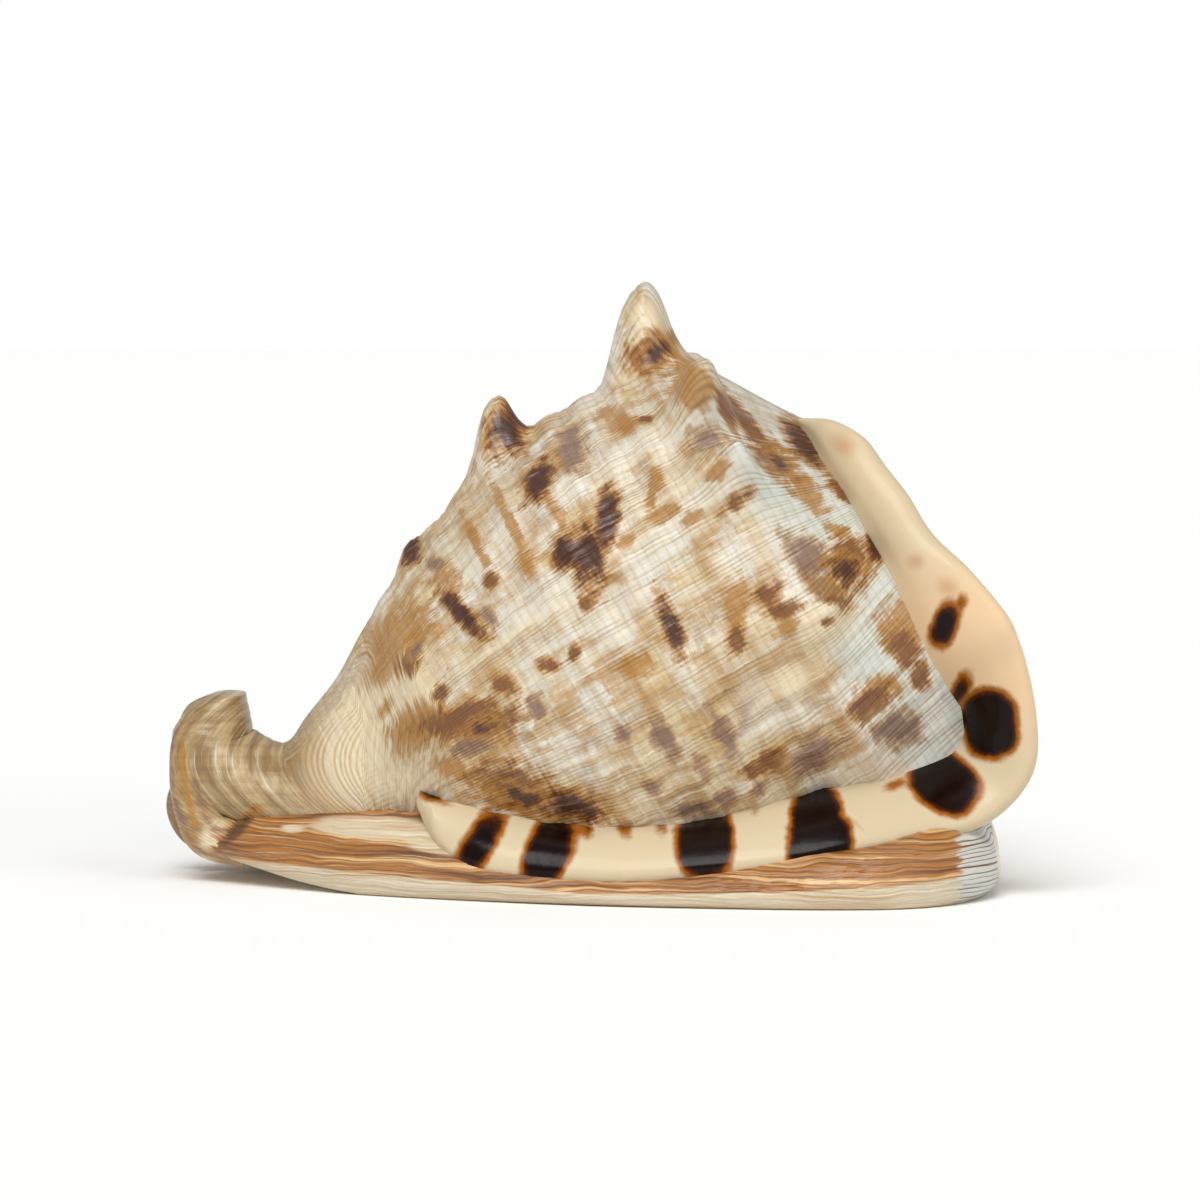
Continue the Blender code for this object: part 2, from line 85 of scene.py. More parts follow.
# Horns and knobs: (along the axis, turn, height, half width, bluntness).
HORNS = (
    (160, 0, 22, 10.6, 3.2), (168, -40.5, 17.5, 8.0, 2.6), (166.5, -61, 15.5, 7.5, 1.7),
    (170, -99, 5.5, 9.5, 1.8), (165, 45, 18, 11.0, 2.4), (168, 85.5, 14, 10.0, 2.3),
    (170, 117, 9, 9.0, 2.0), (104, 0, 17, 9.5, 2.4), (108, 36, 11, 8.5, 2.2),
    (110, 67.5, 9, 8.5, 2.2), (111, 99, 6, 8.0, 2.0), (65, 4.5, 4.5, 7.0, 2.0),
    (67, 40.5, 4.5, 7.0, 2.0), (69, 76.5, 4, 7.0, 2.0),
)
HORN_LEAN = 0.58
# Folds that run down the whorl from its horns: (turn, lowest along, height, half width).
FOLDS = (
    (0, 96, 2.0, 8.0), (-40.5, 120, 2.2, 7.0), (-66, 98, 3.0, 7.0), (-101, 118, 2.4, 7.0),
    (45, 100, 2.0, 8.0), (85.5, 104, 2.0, 8.0),
)
FOLD_END_LENGTH = 22.0
# Sharp ribs of growth on the front: (turn, lowest along, height, half width).
RIBS = (
    (-56.5, 112, 0.8, 1.3), (-60, 104, 1.1, 1.5), (-63.5, 88, 0.9, 1.3), (-67, 62, 1.5, 1.7),
    (-70.5, 96, 0.8, 1.4), (-44, 132, 0.8, 1.6), (-84, 100, 0.6, 1.5), (30, 90, 0.8, 1.7),
    (62, 80, 0.9, 1.8),
)
# A place round the whorl is measured on a whorl of this radius, and near the beak's root the growth
# lines turn back by this much.
GROWTH_RADIUS = 75.0
BEND_TURN = 62.0

# The low spire inside the suture, a cone with one spiral step and its knobs.
SPIRE_RADIUS = 36.0
SPIRE_TIP_RADIUS = 0.7
SPIRE_ROWS = 60
SPIRE_FOOT_ALONG = 197.0
SPIRE_HEIGHT = 10.0
SPIRE_GROWTH = 1.7
SPIRE_STEP_HEIGHT = 0.13
SPIRE_KNOBS = 10
SPIRE_KNOB_HEIGHT = 3.6
# The pattern's bands run on over one whorl of the spire by this much.
SPIRE_BAND_RUN = 25.0

# How finely the whorl is laid down: rows along the axis, and (from turn, to turn, columns) round it.
WHORL_START = -24.0
WHORL_ROW_STEP = 1.4
WHORL_COLUMNS = ((-180, -150, 14), (-150, 45, 320), (45, 150, 104), (150, 180, 14))

# The ring of the stage before, under the new whorl and up beside the spire: (x and z of its root,
# x and z of its rim, how far the rim stands out to the front).
OLD_LIP = (
    (-57.4, 32.3, -56.7, 29.0, 4), (-48.3, 29.0, -50.6, 16.4, 10), (-31.7, 25.5, -35.5, 10.1, 15),
    (0.0, 22.0, 0.0, 9.1, 19), (28.4, 23.8, 28.1, 11.4, 21), (53.7, 29.2, 57.6, 14.4, 23),
    (72.6, 33.9, 79.4, 18.1, 25), (90.1, 37.1, 98.2, 21.0, 26), (101.4, 43.3, 114.8, 23.9, 26),
    (109.4, 47.5, 126.5, 30.1, 25), (113.4, 52.1, 134.5, 41.3, 22), (114.6, 57.4, 134.9, 58.0, 18),
    (111.2, 66.4, 132.0, 76.8, 14), (104.2, 77.9, 126.9, 88.7, 12), (96.5, 93.9, 114.2, 104.2, 10),
    (88.9, 111.2, 102.5, 115.5, 8), (83.0, 120.7, 95.0, 127.7, 7), (77.2, 129.3, 87.7, 137.3, 6),
    (71.0, 137.8, 81.6, 146.3, 5), (67.1, 144.6, 74.7, 149.9, 4), (63.1, 148.6, 66.2, 150.2, 3),
)
OLD_LIP_THICKNESS = 8.0
OLD_LIP_BULGE = 3.0
OLD_LIP_ROWS = 340
# Its cross section as (share of the way from root to rim, share of the bulge, share of the thickness).
OLD_LIP_SECTION = (
    (-0.45, 0, -0.3), (0.0, 0.3, 0), (0.3, 1.0, 0), (0.62, 1.1, 0), (0.86, 0.6, 0), (0.97, 0.0, 0),
    (1.0, 0, -0.35), (0.95, 0, -0.75), (0.75, 0, -1.0), (0.1, 0, -1.0), (-0.45, 0, -1.0),
)
OLD_LIP_COLUMNS = 60

# The face of the mouth, a thick plate: (x, y, height of its underside, height of its top,
# 0 where it is the ledge of the shield and 1 where it is the rolled outer lip).
FACE_EDGE = (
    (-132, -9, 9, 22, 0), (-117, -27, 7, 21, 0), (-97, -41, 2.5, 20, 0), (-76, -54, 0, 19, 0),
    (-45, -68, 0, 15, 0), (-5, -82, 0, 9.5, 0), (35, -90, 0, 11.5, 0), (67, -94, 0, 15, 0),
    (94, -92, 0, 19, 0), (113, -80, 0, 22, 0.1), (125, -60, 0, 22, 0.3), (128, -33, 0, 23, 0.4),
    (126, -5, 0, 24, 0.5), (122, 25, 0, 26, 0.6), (114, 55, 0, 28, 0.8), (97, 80, 0, 30, 1),
    (68, 97, 0, 32, 1), (30, 106, 0, 33, 1), (-10, 107, 0, 33, 1), (-48, 99, 0, 32, 1),
    (-82, 82, 1, 31, 1), (-110, 58, 4, 29, 0.9), (-128, 34, 7, 27, 0.7), (-136, 12, 8, 24, 0.4),
)
FACE_COLUMNS = 640
FACE_ROWS = 50
# Edge of the plate as (inset, share of its height), from below upwards, as ledge and as rolled lip.
LEDGE_SECTION = ((3.0, 0.0), (0.6, 0.16), (0.0, 0.42), (3.0, 0.74), (8.0, 1.0), (20.0, 1.45))
# On the right the ledge's top rises this share of its height less.
LEDGE_FALL = 0.38
ROLL_SECTION = ((9.0, 0.0), (1.6, 0.18), (0.0, 0.46), (3.5, 0.80), (12.0, 1.0), (25.0, 0.84))
FACE_MIDDLE = (10.0, 4.0)
FACE_FLAT_SHARE = 0.50
FACE_CROWN_SHARE = 0.45
FACE_CROWN_HEIGHT = 34.0
# Height of the ledge's top seen from the front, by x, and the x where its grey white end begins.
LEDGE_TOP = ((-132, 22), (-97, 20), (-45, 15), (-5, 9.5), (35, 11.5), (67, 15), (94, 19), (113, 22))
LEDGE_END = (112.0, 113.5)
# The layered finish goes on the plate in front of this y, above the flat face and left of this x.
LEDGE_MAX_Y = -5.0
LEDGE_MIN_Z = 0.4
LEDGE_MAX_X = 126.0

# The callus that closes the spire's end down to the face.
CALLUS_MIDDLE = (94.0, 15.0, 27.0)
CALLUS_HALF_SIZE = (31.0, 58.0, 51.0)
CALLUS_FLOOR = 3.0
CALLUS_ROWS = 72
CALLUS_COLUMNS = 120
# How far above the flat face the callus ends once it has grown into its neighbours.
CALLUS_LIFT = 0.8

# The beak, a gutter that curls up at the front end: (x, z, half width in its bend, half width across).
BEAK = (
    (-72, 27, 20, 32), (-94, 25, 15, 28), (-109, 27, 16.5, 25), (-120, 34, 16, 22.5),
    (-126, 43, 14, 20), (-125.8, 50, 12.5, 17.5), (-124.4, 56, 9.8, 16), (-120.7, 59.6, 5.4, 13.5),
)
# Above the lower of these heights the beak is laid down in level slices, up to its flat cut tip.
BEAK_LEVEL = (42.0, 52.0)
BEAK_MIDDLE_Y = 2.0
BEAK_COLUMNS = 120
BEAK_ROWS = 110
# The two rims of its gutter, each a blade that reaches back into it: (x, y, z, half thickness, reach).
NEAR_RIM = (
    (-126, -9, 56, 3.0, 4.5), (-134, -10, 46, 4.0, 6.5), (-134.5, -11, 34, 5.0, 8),
    (-132, -11, 23, 6.0, 8.5), (-127, -13, 14, 6.5, 8), (-114, -19, 11, 6.0, 7),
)
FAR_RIM = (
    (-129, 13, 40, 3.0, 5), (-135, 15, 31, 3.8, 8), (-138, 17, 21, 4.5, 9.5),
    (-133, 19, 12, 4.8, 8), (-121, 24, 9, 5.0, 7),
)
RIM_COLUMNS = 40
RIM_ROWS = 70

# The mouth, a long slot in the face: (x, y, half width, depth).
MOUTH = (
    (-118, 9, 4.5, 17), (-96, 20, 7.0, 18), (-66, 33, 8.5, 23), (-25, 42, 9.5, 40), (15, 45, 9.5, 48),
    (50, 43, 8.5, 44), (75, 37, 6.5, 34), (92, 30, 3.0, 20),
)
MOUTH_ROWS = 60
MOUTH_WIDER_INSIDE = 1.25
CUT_BELOW = 12.0
# The gutter of the beak, which runs on from the mouth: (x, y, z, half width across, half width).
GUTTER = (
    (-104, 15, 2, 5.5, 9), (-122, 8, 6, 6.0, 9), (-136, 4, 18, 6.5, 9), (-142, 2, 36, 6.5, 9),
    (-140, 1.5, 52, 6.5, 9), (-131, 1, 70, 6.5, 9),
)
GUTTER_COLUMNS = 32
GUTTER_ROWS = 48

# How wide a crease is filled where two pieces grew together, and from which x on it is at the callus.
WHORL_BEAK_REACH = 6.5
BEAK_RIM_REACH = 3.0
WHORL_CALLUS_REACH = 18.0
FACE_CALLUS_REACH = 12.0
CALLUS_FROM_X = 60.0
# Points deeper inside the other piece than this share of the reach stay, and those between it and the
# second share move in part.
GROWN_DEPTHS = (-0.3, -0.1)
GROWN_ROUNDS = 4

# Ridges on both sides of the mouth: (how many, first x, step in x, how far they stand in, half width).
LIP_TEETH = (8, -34.0, 13.0, 4.0, 3.8)
COLUMELLA_FOLDS = (9, -40.0, 11.5, 3.2, 2.6)
TOOTH_HEIGHT = 9.0

# The camera stands this far off, level with the middle of the shell and looking a little down on it.
CAMERA_TARGET = np.array((0.0, 0.0, 90.2))
CAMERA_DISTANCE = 2000.0
CAMERA_RISE = math.radians(4.0)
VIEW_WIDTH = 390.0
SENSOR_WIDTH = 36.0
# The foot of the shell is seen this far under the middle of the picture.
VIEW_FOOT = 101.4
FLOOR_GAP = 0.3
# Where the two soft lights stand, and the sine of the heights between which the sky dims.
KEY_PLACE = (-0.20, -0.80, 1.10)
FILL_PLACE = (0.80, -0.70, 0.60)
SKY_DIMS = (0.04, 0.12)

# A place far outside every mark, or outside every bar.
NO_MARK = -1.5
NO_BAR = -20.0
# A mark is laid this much fuller than its size, because its torn edge takes some of it off.
MARK_FULLNESS = 0.22
# Marks on the whorl as they are seen from the front: (across, up, half length, half width, turn of the
# length from level, strength from 0 to 1).
DARK_MARKS = (
    (-30.5, 157, 8, 5.8, 80, 0.9), (-20, 140, 6.8, 3.8, 60, 0.9), (2, 127.5, 8.2, 3.1, 84, 1.0),
    (-4.2, 115.5, 9, 4.2, 100, 1.0), (-11.9, 116.5, 4.6, 3.6, 100, 1.0), (-61.5, 118, 4.8, 2.8, 80, 0.9),
    (-44.9, 96.9, 10.5, 2.8, -44, 0.8), (66, 152.4, 8.5, 3.2, -52, 0.9), (89.4, 119.6, 6, 2.4, 100, 0.9),
    (-9, 34.5, 10, 4.6, -20, 0.8), (23.1, 92.3, 9.5, 2.7, -70, 0.8), (-38, 60, 7, 4.5, 20, 0.45),
    (17.9, 181.5, 7, 3.6, 30, 0.55), (-25, 37, 12, 3.4, -22, 0.6), (79.6, 110.5, 7.5, 5, -40, 0.65),
    (58.5, 146, 7.5, 3.2, -50, 0.5),
)
PURPLE_MARKS = (
    (-9.1, 150.2, 6.4, 4.6, 90, 0.9), (-54, 113.3, 3.4, 2.2, 0, 0.7), (-42, 54, 7, 3.2, 10, 0.8),
    (69, 114.4, 9.5, 5, -42, 0.9), (96.5, 59.8, 7, 6, 0, 0.8), (70, 51, 10.5, 6, 30, 0.7),
    (20.5, 57, 7, 3.6, -62, 0.8), (7.2, 57.5, 4, 2.4, -70, 0.8), (40.3, 58, 8.5, 2.8, -65, 0.8),
    (29.5, 33.5, 6.5, 2.8, 10, 0.7), (41, 37, 4.2, 3, 20, 0.7), (17, 41, 3.4, 2.8, 0, 0.6),
    (-3, 39, 3.2, 2.2, 90, 0.6), (35, 154, 9, 6, 10, 0.5), (-21, 66.6, 4, 3, 90, 0.8),
    (33, 47, 5, 3, -60, 0.5), (-36.5, 96, 4, 2.8, -40, 0.7), (23, 186, 4.5, 3.5, 60, 0.45),
    (-60, 85, 4, 2.5, 60, 0.5), (52, 40, 5, 3, 30, 0.5),
)
RED_MARKS = (
    (44.3, 88.7, 4, 3, 70, 0.8), (55, 102.4, 5, 4, 40, 0.8), (73.8, 94.3, 2.4, 2, 0, 0.5),
    (49, 46, 3.2, 2.6, 20, 0.8), (-8.5, 84.5, 3.2, 2, 90, 0.7), (-4.5, 100.5, 2.4, 2, 90, 0.8),
    (-17, 80.5, 3.8, 2.6, -30, 0.7), (-31.5, 74, 4.4, 3, -20, 0.8), (-62, 81.3, 5, 4, 60, 0.6),
    (-39, 60, 13, 6.5, 18, 0.75), (-27, 40, 16, 7, -22, 0.75), (-36, 107.6, 2.8, 2.4, 90, 0.8),
    (17, 181, 8.5, 5.6, 30, 0.75), (99, 85, 8.5, 4.5, -65, 0.7), (79, 137, 6, 2.4, -42, 0.8),
    (80.6, 116, 7.5, 6, -40, 0.8), (57, 147, 10, 4, -48, 0.8), (44, 133, 8, 3.4, 42, 0.4),
    (15, 160, 3, 2, 0, 0.4), (-52, 71, 4, 2.6, 30, 0.5), (56, 49, 5, 3.5, 10, 0.9), (88, 68, 8, 4.5, 35, 0.8),
    (60, 98.5, 6, 2.4, 15, 0.8), (41, 164, 2.2, 7, 20, 0.9), (-46, 63, 15, 4.5, 14, 0.8),
    (48, 158, 12, 2.2, -52, 0.9), (-28, 158, 3.2, 6, 20, 0.7), (74, 105, 8, 3.4, -38, 0.9),
    (104, 76, 5, 3, -60, 0.7),
)
GOLD_MARKS = (
    (18, 140, 4.4, 2.4, 70, 0.8), (20.5, 129.5, 4.6, 2.4, 30, 0.9), (16.4, 133, 5, 1.8, 90, 0.7),
    (8, 120, 3, 2, 40, 0.8), (31.5, 170.5, 6, 5.4, 60, 0.9), (1.6, 162, 4, 2.4, 30, 0.7),
    (38, 143, 4.4, 2.6, 42, 0.7), (-28.3, 124.8, 18, 1.7, -64, 0.7), (-40, 119.6, 14, 1.6, -64, 0.65),
    (-62, 92, 12, 10, 50, 0.5), (-71.5, 79, 8, 5, 60, 0.6), (93, 73, 8, 5, 10, 0.6),
    (12.3, 80, 7, 4.4, 10, 0.7), (-53, 62.7, 9, 4.6, 10, 0.8), (96, 90, 10, 6, -60, 0.6),
    (-24, 113, 6, 3, -64, 0.5), (-50, 108, 10, 5, -64, 0.4), (5, 108, 6, 3, 10, 0.4),
    (44, 101, 7, 4, 80, 0.8), (29, 172, 5, 7, 0, 1.0), (-60, 60, 9, 6, 40, 0.9), (-46, 46, 8, 4, -20, 0.7),
    (100, 92, 10, 6, -62, 0.8), (66, 138, 12, 4, -50, 0.7), (-67, 88, 14, 7, 60, 0.7),
    (8, 158, 5, 3, 30, 0.7),
    (30, 128, 7, 3, 30, 0.4), (-32, 40, 14, 8, -20, 0.6), (60, 92, 10, 3, 30, 0.4),
    (-15, 131, 12, 2.4, -62, 0.5), (77, 124, 8, 2.6, -40, 0.5), (-70, 66, 6, 3, 60, 0.35),
)
PALE_MARKS = (
    (-41, 114, 6.5, 5, 35, 1.0), (-30, 125, 6.5, 5, 40, 1.0),
    (-19.5, 133, 6, 4.5, 45, 0.9), (-31, 147, 5, 4, 30, 0.9),
    (-8.5, 139, 5, 5, 0, 1.0), (-13, 109, 12, 3.4, 30, 1.0),
    (9, 104, 13, 6, 45, 1.0), (-49, 107, 8, 3.4, -50, 0.9),
    (-20, 72, 6, 4, -40, 0.7), (5, 94, 5, 8, 40, 0.9), (27, 78, 3.5, 10, 30, 0.8), (47, 40, 7, 3, 10, 0.7),
    (81, 70, 7, 5, 0, 0.8), (87, 45, 15, 5, 20, 1.0), (108, 68, 4, 12, 20, 0.9), (-5, 152, 8, 5, 30, 0.8),
    (10, 150, 12, 4, 35, 0.8), (28, 157, 8, 3, 30, 0.8),
    (45, 118, 10, 4, -60, 0.8), (-72, 100, 6, 4, 40, 0.6),
    (-26, 98, 21, 3.0, 23, 1.0), (30, 131, 27, 3.4, 41, 1.0),
    (-12, 88, 16, 2.0, 30, 0.8), (62, 120, 9, 5, -55, 0.9),
    (-2, 168, 9, 4, 60, 0.8), (20, 116, 14, 2.6, 38, 0.8),
    (-10, 54, 4, 8, 20, 0.7), (58, 62, 12, 5, 10, 0.6),
)
# Turns of the whorl that the front shows, and where its growth lines become those of the beak: how far
# across they fade into each other, and over which turns.
SHOWN_TURNS = (-170, 8)
ROOT_ACROSS = (-78, -48)
ROOT_TURNS = (-5, -35)
# Across this stretch, seen from the front, the mottled ground becomes the horn of the beak.
BEAK_ACROSS = (-108, -80)
# Smooth worn places of the whorl without lines or marks, in the same way. The thin one at 135 up is a painted
# highlight along a spiral thread.
WORN_AND_HIGHLIT_PLACES = (
    (74, 95, 13, 9, 30, 1.0), (60, 76, 16, 8, 20, 0.7), (-66, 70, 16, 12, 60, 0.7),
    (-72, 62, 30, 17, 55, 1.1),
    (-66, 42, 16, 9, 0, 0.9), (15, 190, 9, 5, 85, 1.0), (-36, 160, 3, 6, 0, 0.9),
    (-11, 135, 13, 1.3, -58, 0.9), (40, 152, 4, 2.5, 20, 0.8),
)
# The beak's worn white patch, and painted shade in the hollow beside it and in two thin lines along the
# crease where the ledge meets the whorl.
BEAK_WORN = ((-126, 23, 7, 4.5, 70, 1.1),)
BEAK_GROOVE_SHADE = ((-118, 26.5, 9, 2.6, 45, 0.9), (-100, 30.5, 14, 0.7, 2, 0.6), (-62, 33, 16, 0.8, 8, 0.7))
# The bow of the beak's growth lines: its middle height and how narrow it is.
BOW_HEIGHT = 49.4
BOW_WIDTH = 26.0
BOW_STRAIGHT = 22.0
BOW_SCALE = 0.75
# How far the glaze of the callus creeps over the whorl.
GLAZE_REACH = 9.0
# How wide the brown edge of the beak's rims is.
RIM_EDGE = 1.1
# Marks on the side that the front doesn't show: (along the axis, turn, half length along, half width
# round, lean of the length, strength).
FAR_MARKS = (
    (150, 24, 9, 6, 10, 0.9), (128, 40, 6, 10, -15, 0.8), (158, 62, 8, 7, 0, 0.9), (136, 74, 5, 9, 20, 0.7),
    (116, 52, 7, 5, 0, 0.8), (96, 24, 6, 9, 15, 0.8), (88, 58, 5, 8, -10, 0.7), (104, 84, 8, 5, 0, 0.8),
    (142, 96, 9, 6, 10, 0.9), (122, 110, 6, 9, -12, 0.8), (160, 106, 6, 8, 0, 0.8), (84, 92, 5, 7, 0, 0.7),
    (68, 34, 5, 7, 10, 0.7), (60, 72, 6, 5, 0, 0.7), (150, 128, 8, 6, 0, 0.8), (100, 124, 6, 8, 0, 0.7),
    (76, 118, 5, 8, 0, 0.7), (48, 96, 5, 6, 0, 0.6), (180, 20, 5, 12, 0, 0.8), (184, 60, 6, 11, 0, 0.8),
    (179, 98, 5, 12, 0, 0.8), (186, 130, 5, 10, 0, 0.8), (182, -20, 5, 9, 0, 0.7), (174, -160, 6, 9, 0, 0.6),
)

# Burnt bars on the old lip as seen from the front: (across, up, half length, half width, turn of the
# length from level).
OLD_LIP_BARS = (
    (-54.6, 38.6, 5.2, 2.4, -22), (-39, 22.4, 12.5, 5.2, 59), (-16.9, 20.2, 13.0, 7.4, 66),
    (34.1, 23.2, 13.5, 9.4, 90), (69.6, 35.0, 9, 6.6, 90), (70.4, 29.5, 12, 8.9, 90),
    (71.6, 22.0, 11.5, 11.2, 90),
    (112, 42.3, 12.4, 9.6, -35), (126.6, 60.8, 11.5, 9.6, 96), (111.8, 93, 8.0, 4.1, 68),
    (117.2, 100.4, 2.0, 1.4, 68), (116.8, 71.5, 5.4, 2.3, 64), (-4.2, 28.4, 2.6, 1.5, 90),
    (8, 28.6, 2.6, 1.5, 90), (19.8, 29.6, 2.6, 1.5, 90), (96, 41.5, 3.0, 1.2, 20), (50, 36.0, 2.4, 1.1, 90),
)
# Blushes on it, in the same way: a brown hollow, a pink cloud and a thin burnt streak.
OLD_LIP_BLUSHES = (
    (79, 152, 6.5, 4.4, -35), (102.7, 114, 4, 3.4, 0), (113, 105.5, 6, 4, -40), (83, 29, 6, 0.9, -45),
)
# Whitish places of the ledge, seen from the front.
LEDGE_WHITE = ((-72, 27, 30, 5.0, -3, 1.2), (-52, 22, 22, 4.5, -8, 1.1), (-100, 27, 10, 3.0, 0, 0.9))
# How far the bars of the outer lip come in over it.
OUTER_BAR_REACH = 17.0
# Bars across the outer lip: (x, half width, how far down its outside they come).
OUTER_LIP_BARS = (
    (-92, 7, 0.30), (-62, 8.5, 0.22), (-27, 9.5, 0.18), (10, 9, 0.20), (46, 9.5, 0.18), (80, 8, 0.26),
)


def linear(colour):
    """A linear colour from its sRGB hex value."""
    values = [int(colour[index:index + 2], 16) / 255 for index in (1, 3, 5)]
    return tuple(value / 12.92 if value <= 0.04045 else ((value + 0.055) / 1.055) ** 2.4 for value in values)


def spline(knots, places):
    """Values at places on a smooth curve through (place, value) knots."""
    stops, values = np.array(knots, float).T
    places = np.clip(places, stops[0], stops[-1])
    slopes = np.gradient(values)
    slopes[1:-1] = (values[2:] - values[:-2]) / (stops[2:] - stops[:-2])
    slopes[0] = (values[1] - values[0]) / (stops[1] - stops[0])
    slopes[-1] = (values[-1] - values[-2]) / (stops[-1] - stops[-2])
    left = np.clip(np.searchsorted(stops, places, side="right") - 1, 0, len(stops) - 2)
    span = stops[left + 1] - stops[left]
    part = (places - stops[left]) / span
    square = part * part
    cube = square * part
    return ((2 * cube - 3 * square + 1) * values[left] + (cube - 2 * square + part) * span * slopes[left]
            + (3 * square - 2 * cube) * values[left + 1] + (cube - square) * span * slopes[left + 1])


def along_rows(rows, count):
    """The columns of evenly counted rows, at count places along them."""
    places = np.linspace(0, len(rows) - 1, count)
    return [spline([(index, row[column]) for index, row in enumerate(rows)], places)
            for column in range(len(rows[0]))]


def round_rows(rows, count):
    """The columns of a closed run of rows at count places, the last of them the first again."""
    wrapped = [rows[index % len(rows)] for index in range(-2, len(rows) + 3)]
    places = np.linspace(2, 2 + len(rows), count)
    return [spline([(index, row[column]) for index, row in enumerate(wrapped)], places)
            for column in range(len(rows[0]))]


def smooth_step(low, high, value):
    """0 below low, 1 above high and an even S between them."""
    part = np.clip((value - low) / (high - low), 0.0, 1.0)
    return part * part * (3 - 2 * part)


def turn_gap(turn, other):
    """The shorter way between two turns about the axis."""
    return (turn - other + 180.0) % 360.0 - 180.0


def shell_point(along, turn, radius):
    """The places that lie along the axis, at a turn about it and a radius from it."""
    up = radius * np.cos(np.radians(turn))
    side = radius * np.sin(np.radians(turn))
    x = AXIS_START[0] + along * math.cos(AXIS_TILT) - up * math.sin(AXIS_TILT)
    z = AXIS_START[2] + along * math.sin(AXIS_TILT) + up * math.cos(AXIS_TILT)
    return np.stack(np.broadcast_arrays(x, AXIS_START[1] + side, z), axis=-1)


def shell_place(points):
    """The distance along the axis, the turn about it and the radius of each point."""
    ahead = points - AXIS_START
    along = ahead[:, 0] * math.cos(AXIS_TILT) + ahead[:, 2] * math.sin(AXIS_TILT)
    up = -ahead[:, 0] * math.sin(AXIS_TILT) + ahead[:, 2] * math.cos(AXIS_TILT)
    return along, np.degrees(np.arctan2(ahead[:, 1], up)), np.hypot(ahead[:, 1], up)


def seen_from_front(points):
    """How far across and up each point is seen, in millimetres at the middle of the shell."""
    ahead = points - CAMERA_TARGET
    depth = CAMERA_DISTANCE + ahead[:, 1] * math.cos(CAMERA_RISE) - ahead[:, 2] * math.sin(CAMERA_RISE)
    up = ahead[:, 1] * math.sin(CAMERA_RISE) + ahead[:, 2] * math.cos(CAMERA_RISE)
    shrink = CAMERA_DISTANCE / depth
    return ahead[:, 0] * shrink, up * shrink + VIEW_FOOT


def whorl_radius(along, turn):
    """Radius of the last whorl without its horns, from the beak to the suture."""
    girth = 1 + (spline(WHORL_GIRTH, turn) - 1) * smooth_step(10, 70, along)
    wall = spline(WHORL_PROFILE, np.minimum(along, SHOULDER_ALONG)) * girth
    ramp = np.clip((along - SHOULDER_ALONG) / (SUTURE_ALONG - SHOULDER_ALONG), 0.0, 1.0)
    return wall + (spline(SUTURE_RADIUS, turn) - wall) * ramp


def relief(along, turn, radius):
    """How far the horns, knobs and folds lift the whorl."""
    lift = np.zeros(np.broadcast(along, turn).shape)
    for horn_along, horn_turn, height, half_width, bluntness in HORNS:
        across = np.radians(turn_gap(turn, horn_turn)) * radius
        away = np.hypot(along - horn_along, across) / half_width
        lift += height * np.exp(-away ** bluntness)
    for fold_turn, lowest, height, half_width in FOLDS:
        across = np.radians(turn_gap(turn, fold_turn)) * radius
        fade = smooth_step(lowest - FOLD_END_LENGTH, lowest + FOLD_END_LENGTH, along)
        fade = fade * (1 - smooth_step(SHOULDER_ALONG, SUTURE_ALONG, along))
        lift += height * fade * np.exp(-(across / half_width) ** 2)
    return lift


def growth_place(along, turn):
    """Distance round the whorl in the order of its growth. Growth lines bend round the beak's root."""
    return GROWTH_RADIUS * np.radians(turn + BEND_TURN * (1 - smooth_step(-6, 52, along)) ** 2)


def ribs(along, turn):
    """How far the sharp ribs of growth stand up."""
    lift = 0.0
    for rib_turn, lowest, height, half_width in RIBS:
        across = GROWTH_RADIUS * np.radians(turn - rib_turn - 1.3 * np.sin(along / 17.0))
        fade = smooth_step(lowest - 12, lowest + 12, along) * (1 - smooth_step(164, 174, along))
        lift = lift + height * fade * np.exp(-np.abs(across / half_width) ** 1.6)
    return lift


def bow_place(across, up):
    """Distance over the beak and its root in the order of growth, on lines bowed like the beak's edge."""
    off = np.abs(up - BOW_HEIGHT)
    near = np.minimum(off, BOW_STRAIGHT)
    bow = near ** 2 / BOW_WIDTH + (off - near) * 2 * BOW_STRAIGHT / BOW_WIDTH
    return -BOW_SCALE * (across - bow)


def beak_share(across):
    """How far the grey brown of the beak covers a place, seen from the front."""
    return 1 - smooth_step(*BEAK_ACROSS, across)


def fine_relief(along, turn, sizes):
    """The spiral bands and the waves of growth that a finger feels on the whorl."""
    spacing = sizes.band_spacing / MM
    grown = growth_place(along, turn)
    wobble = 0.6 * np.sin(grown / 19.0) + 0.4 * np.sin(grown / 7.3 + along / 31.0)
    band = np.cos((along + wobble) * math.tau / spacing)
    band = np.sign(band) * np.abs(band) ** 0.7
    thread = np.cos((along + wobble) * math.tau / (spacing / 4))
    fade = smooth_step(28, 60, along) * (1 - smooth_step(163, 171, along))
    lift = fade * (sizes.band_height / MM) * (band + 0.35 * thread)
    swell = np.sin(grown * math.tau / 11.0 + 2.2 * np.sin(along / 27.0))
    swell = swell + 0.8 * np.sin(grown * math.tau / 6.1 + 1.7 * np.sin(along / 15.0 + 1.0))
    swell = swell + 0.6 * np.sin(grown * math.tau / 3.4 + 1.1 * np.sin(along / 9.0 + 2.0))
    return lift + (sizes.growth_height / MM) * swell * smooth_step(-10, 30, along) + ribs(along, turn)


def settle(points, turn):
    """Brings the underside of the whorl down into the face of the mouth, as a wall."""
    sunk = smooth_step(SINK_FROM_TURN, SINK_TO_TURN, np.abs(turn))
    height = points[..., 2]
    height = height + (np.minimum(height, SUNK_HEIGHT) - height) * sunk
    points[..., 2] = np.maximum(height, SUNK_HEIGHT)
    return points


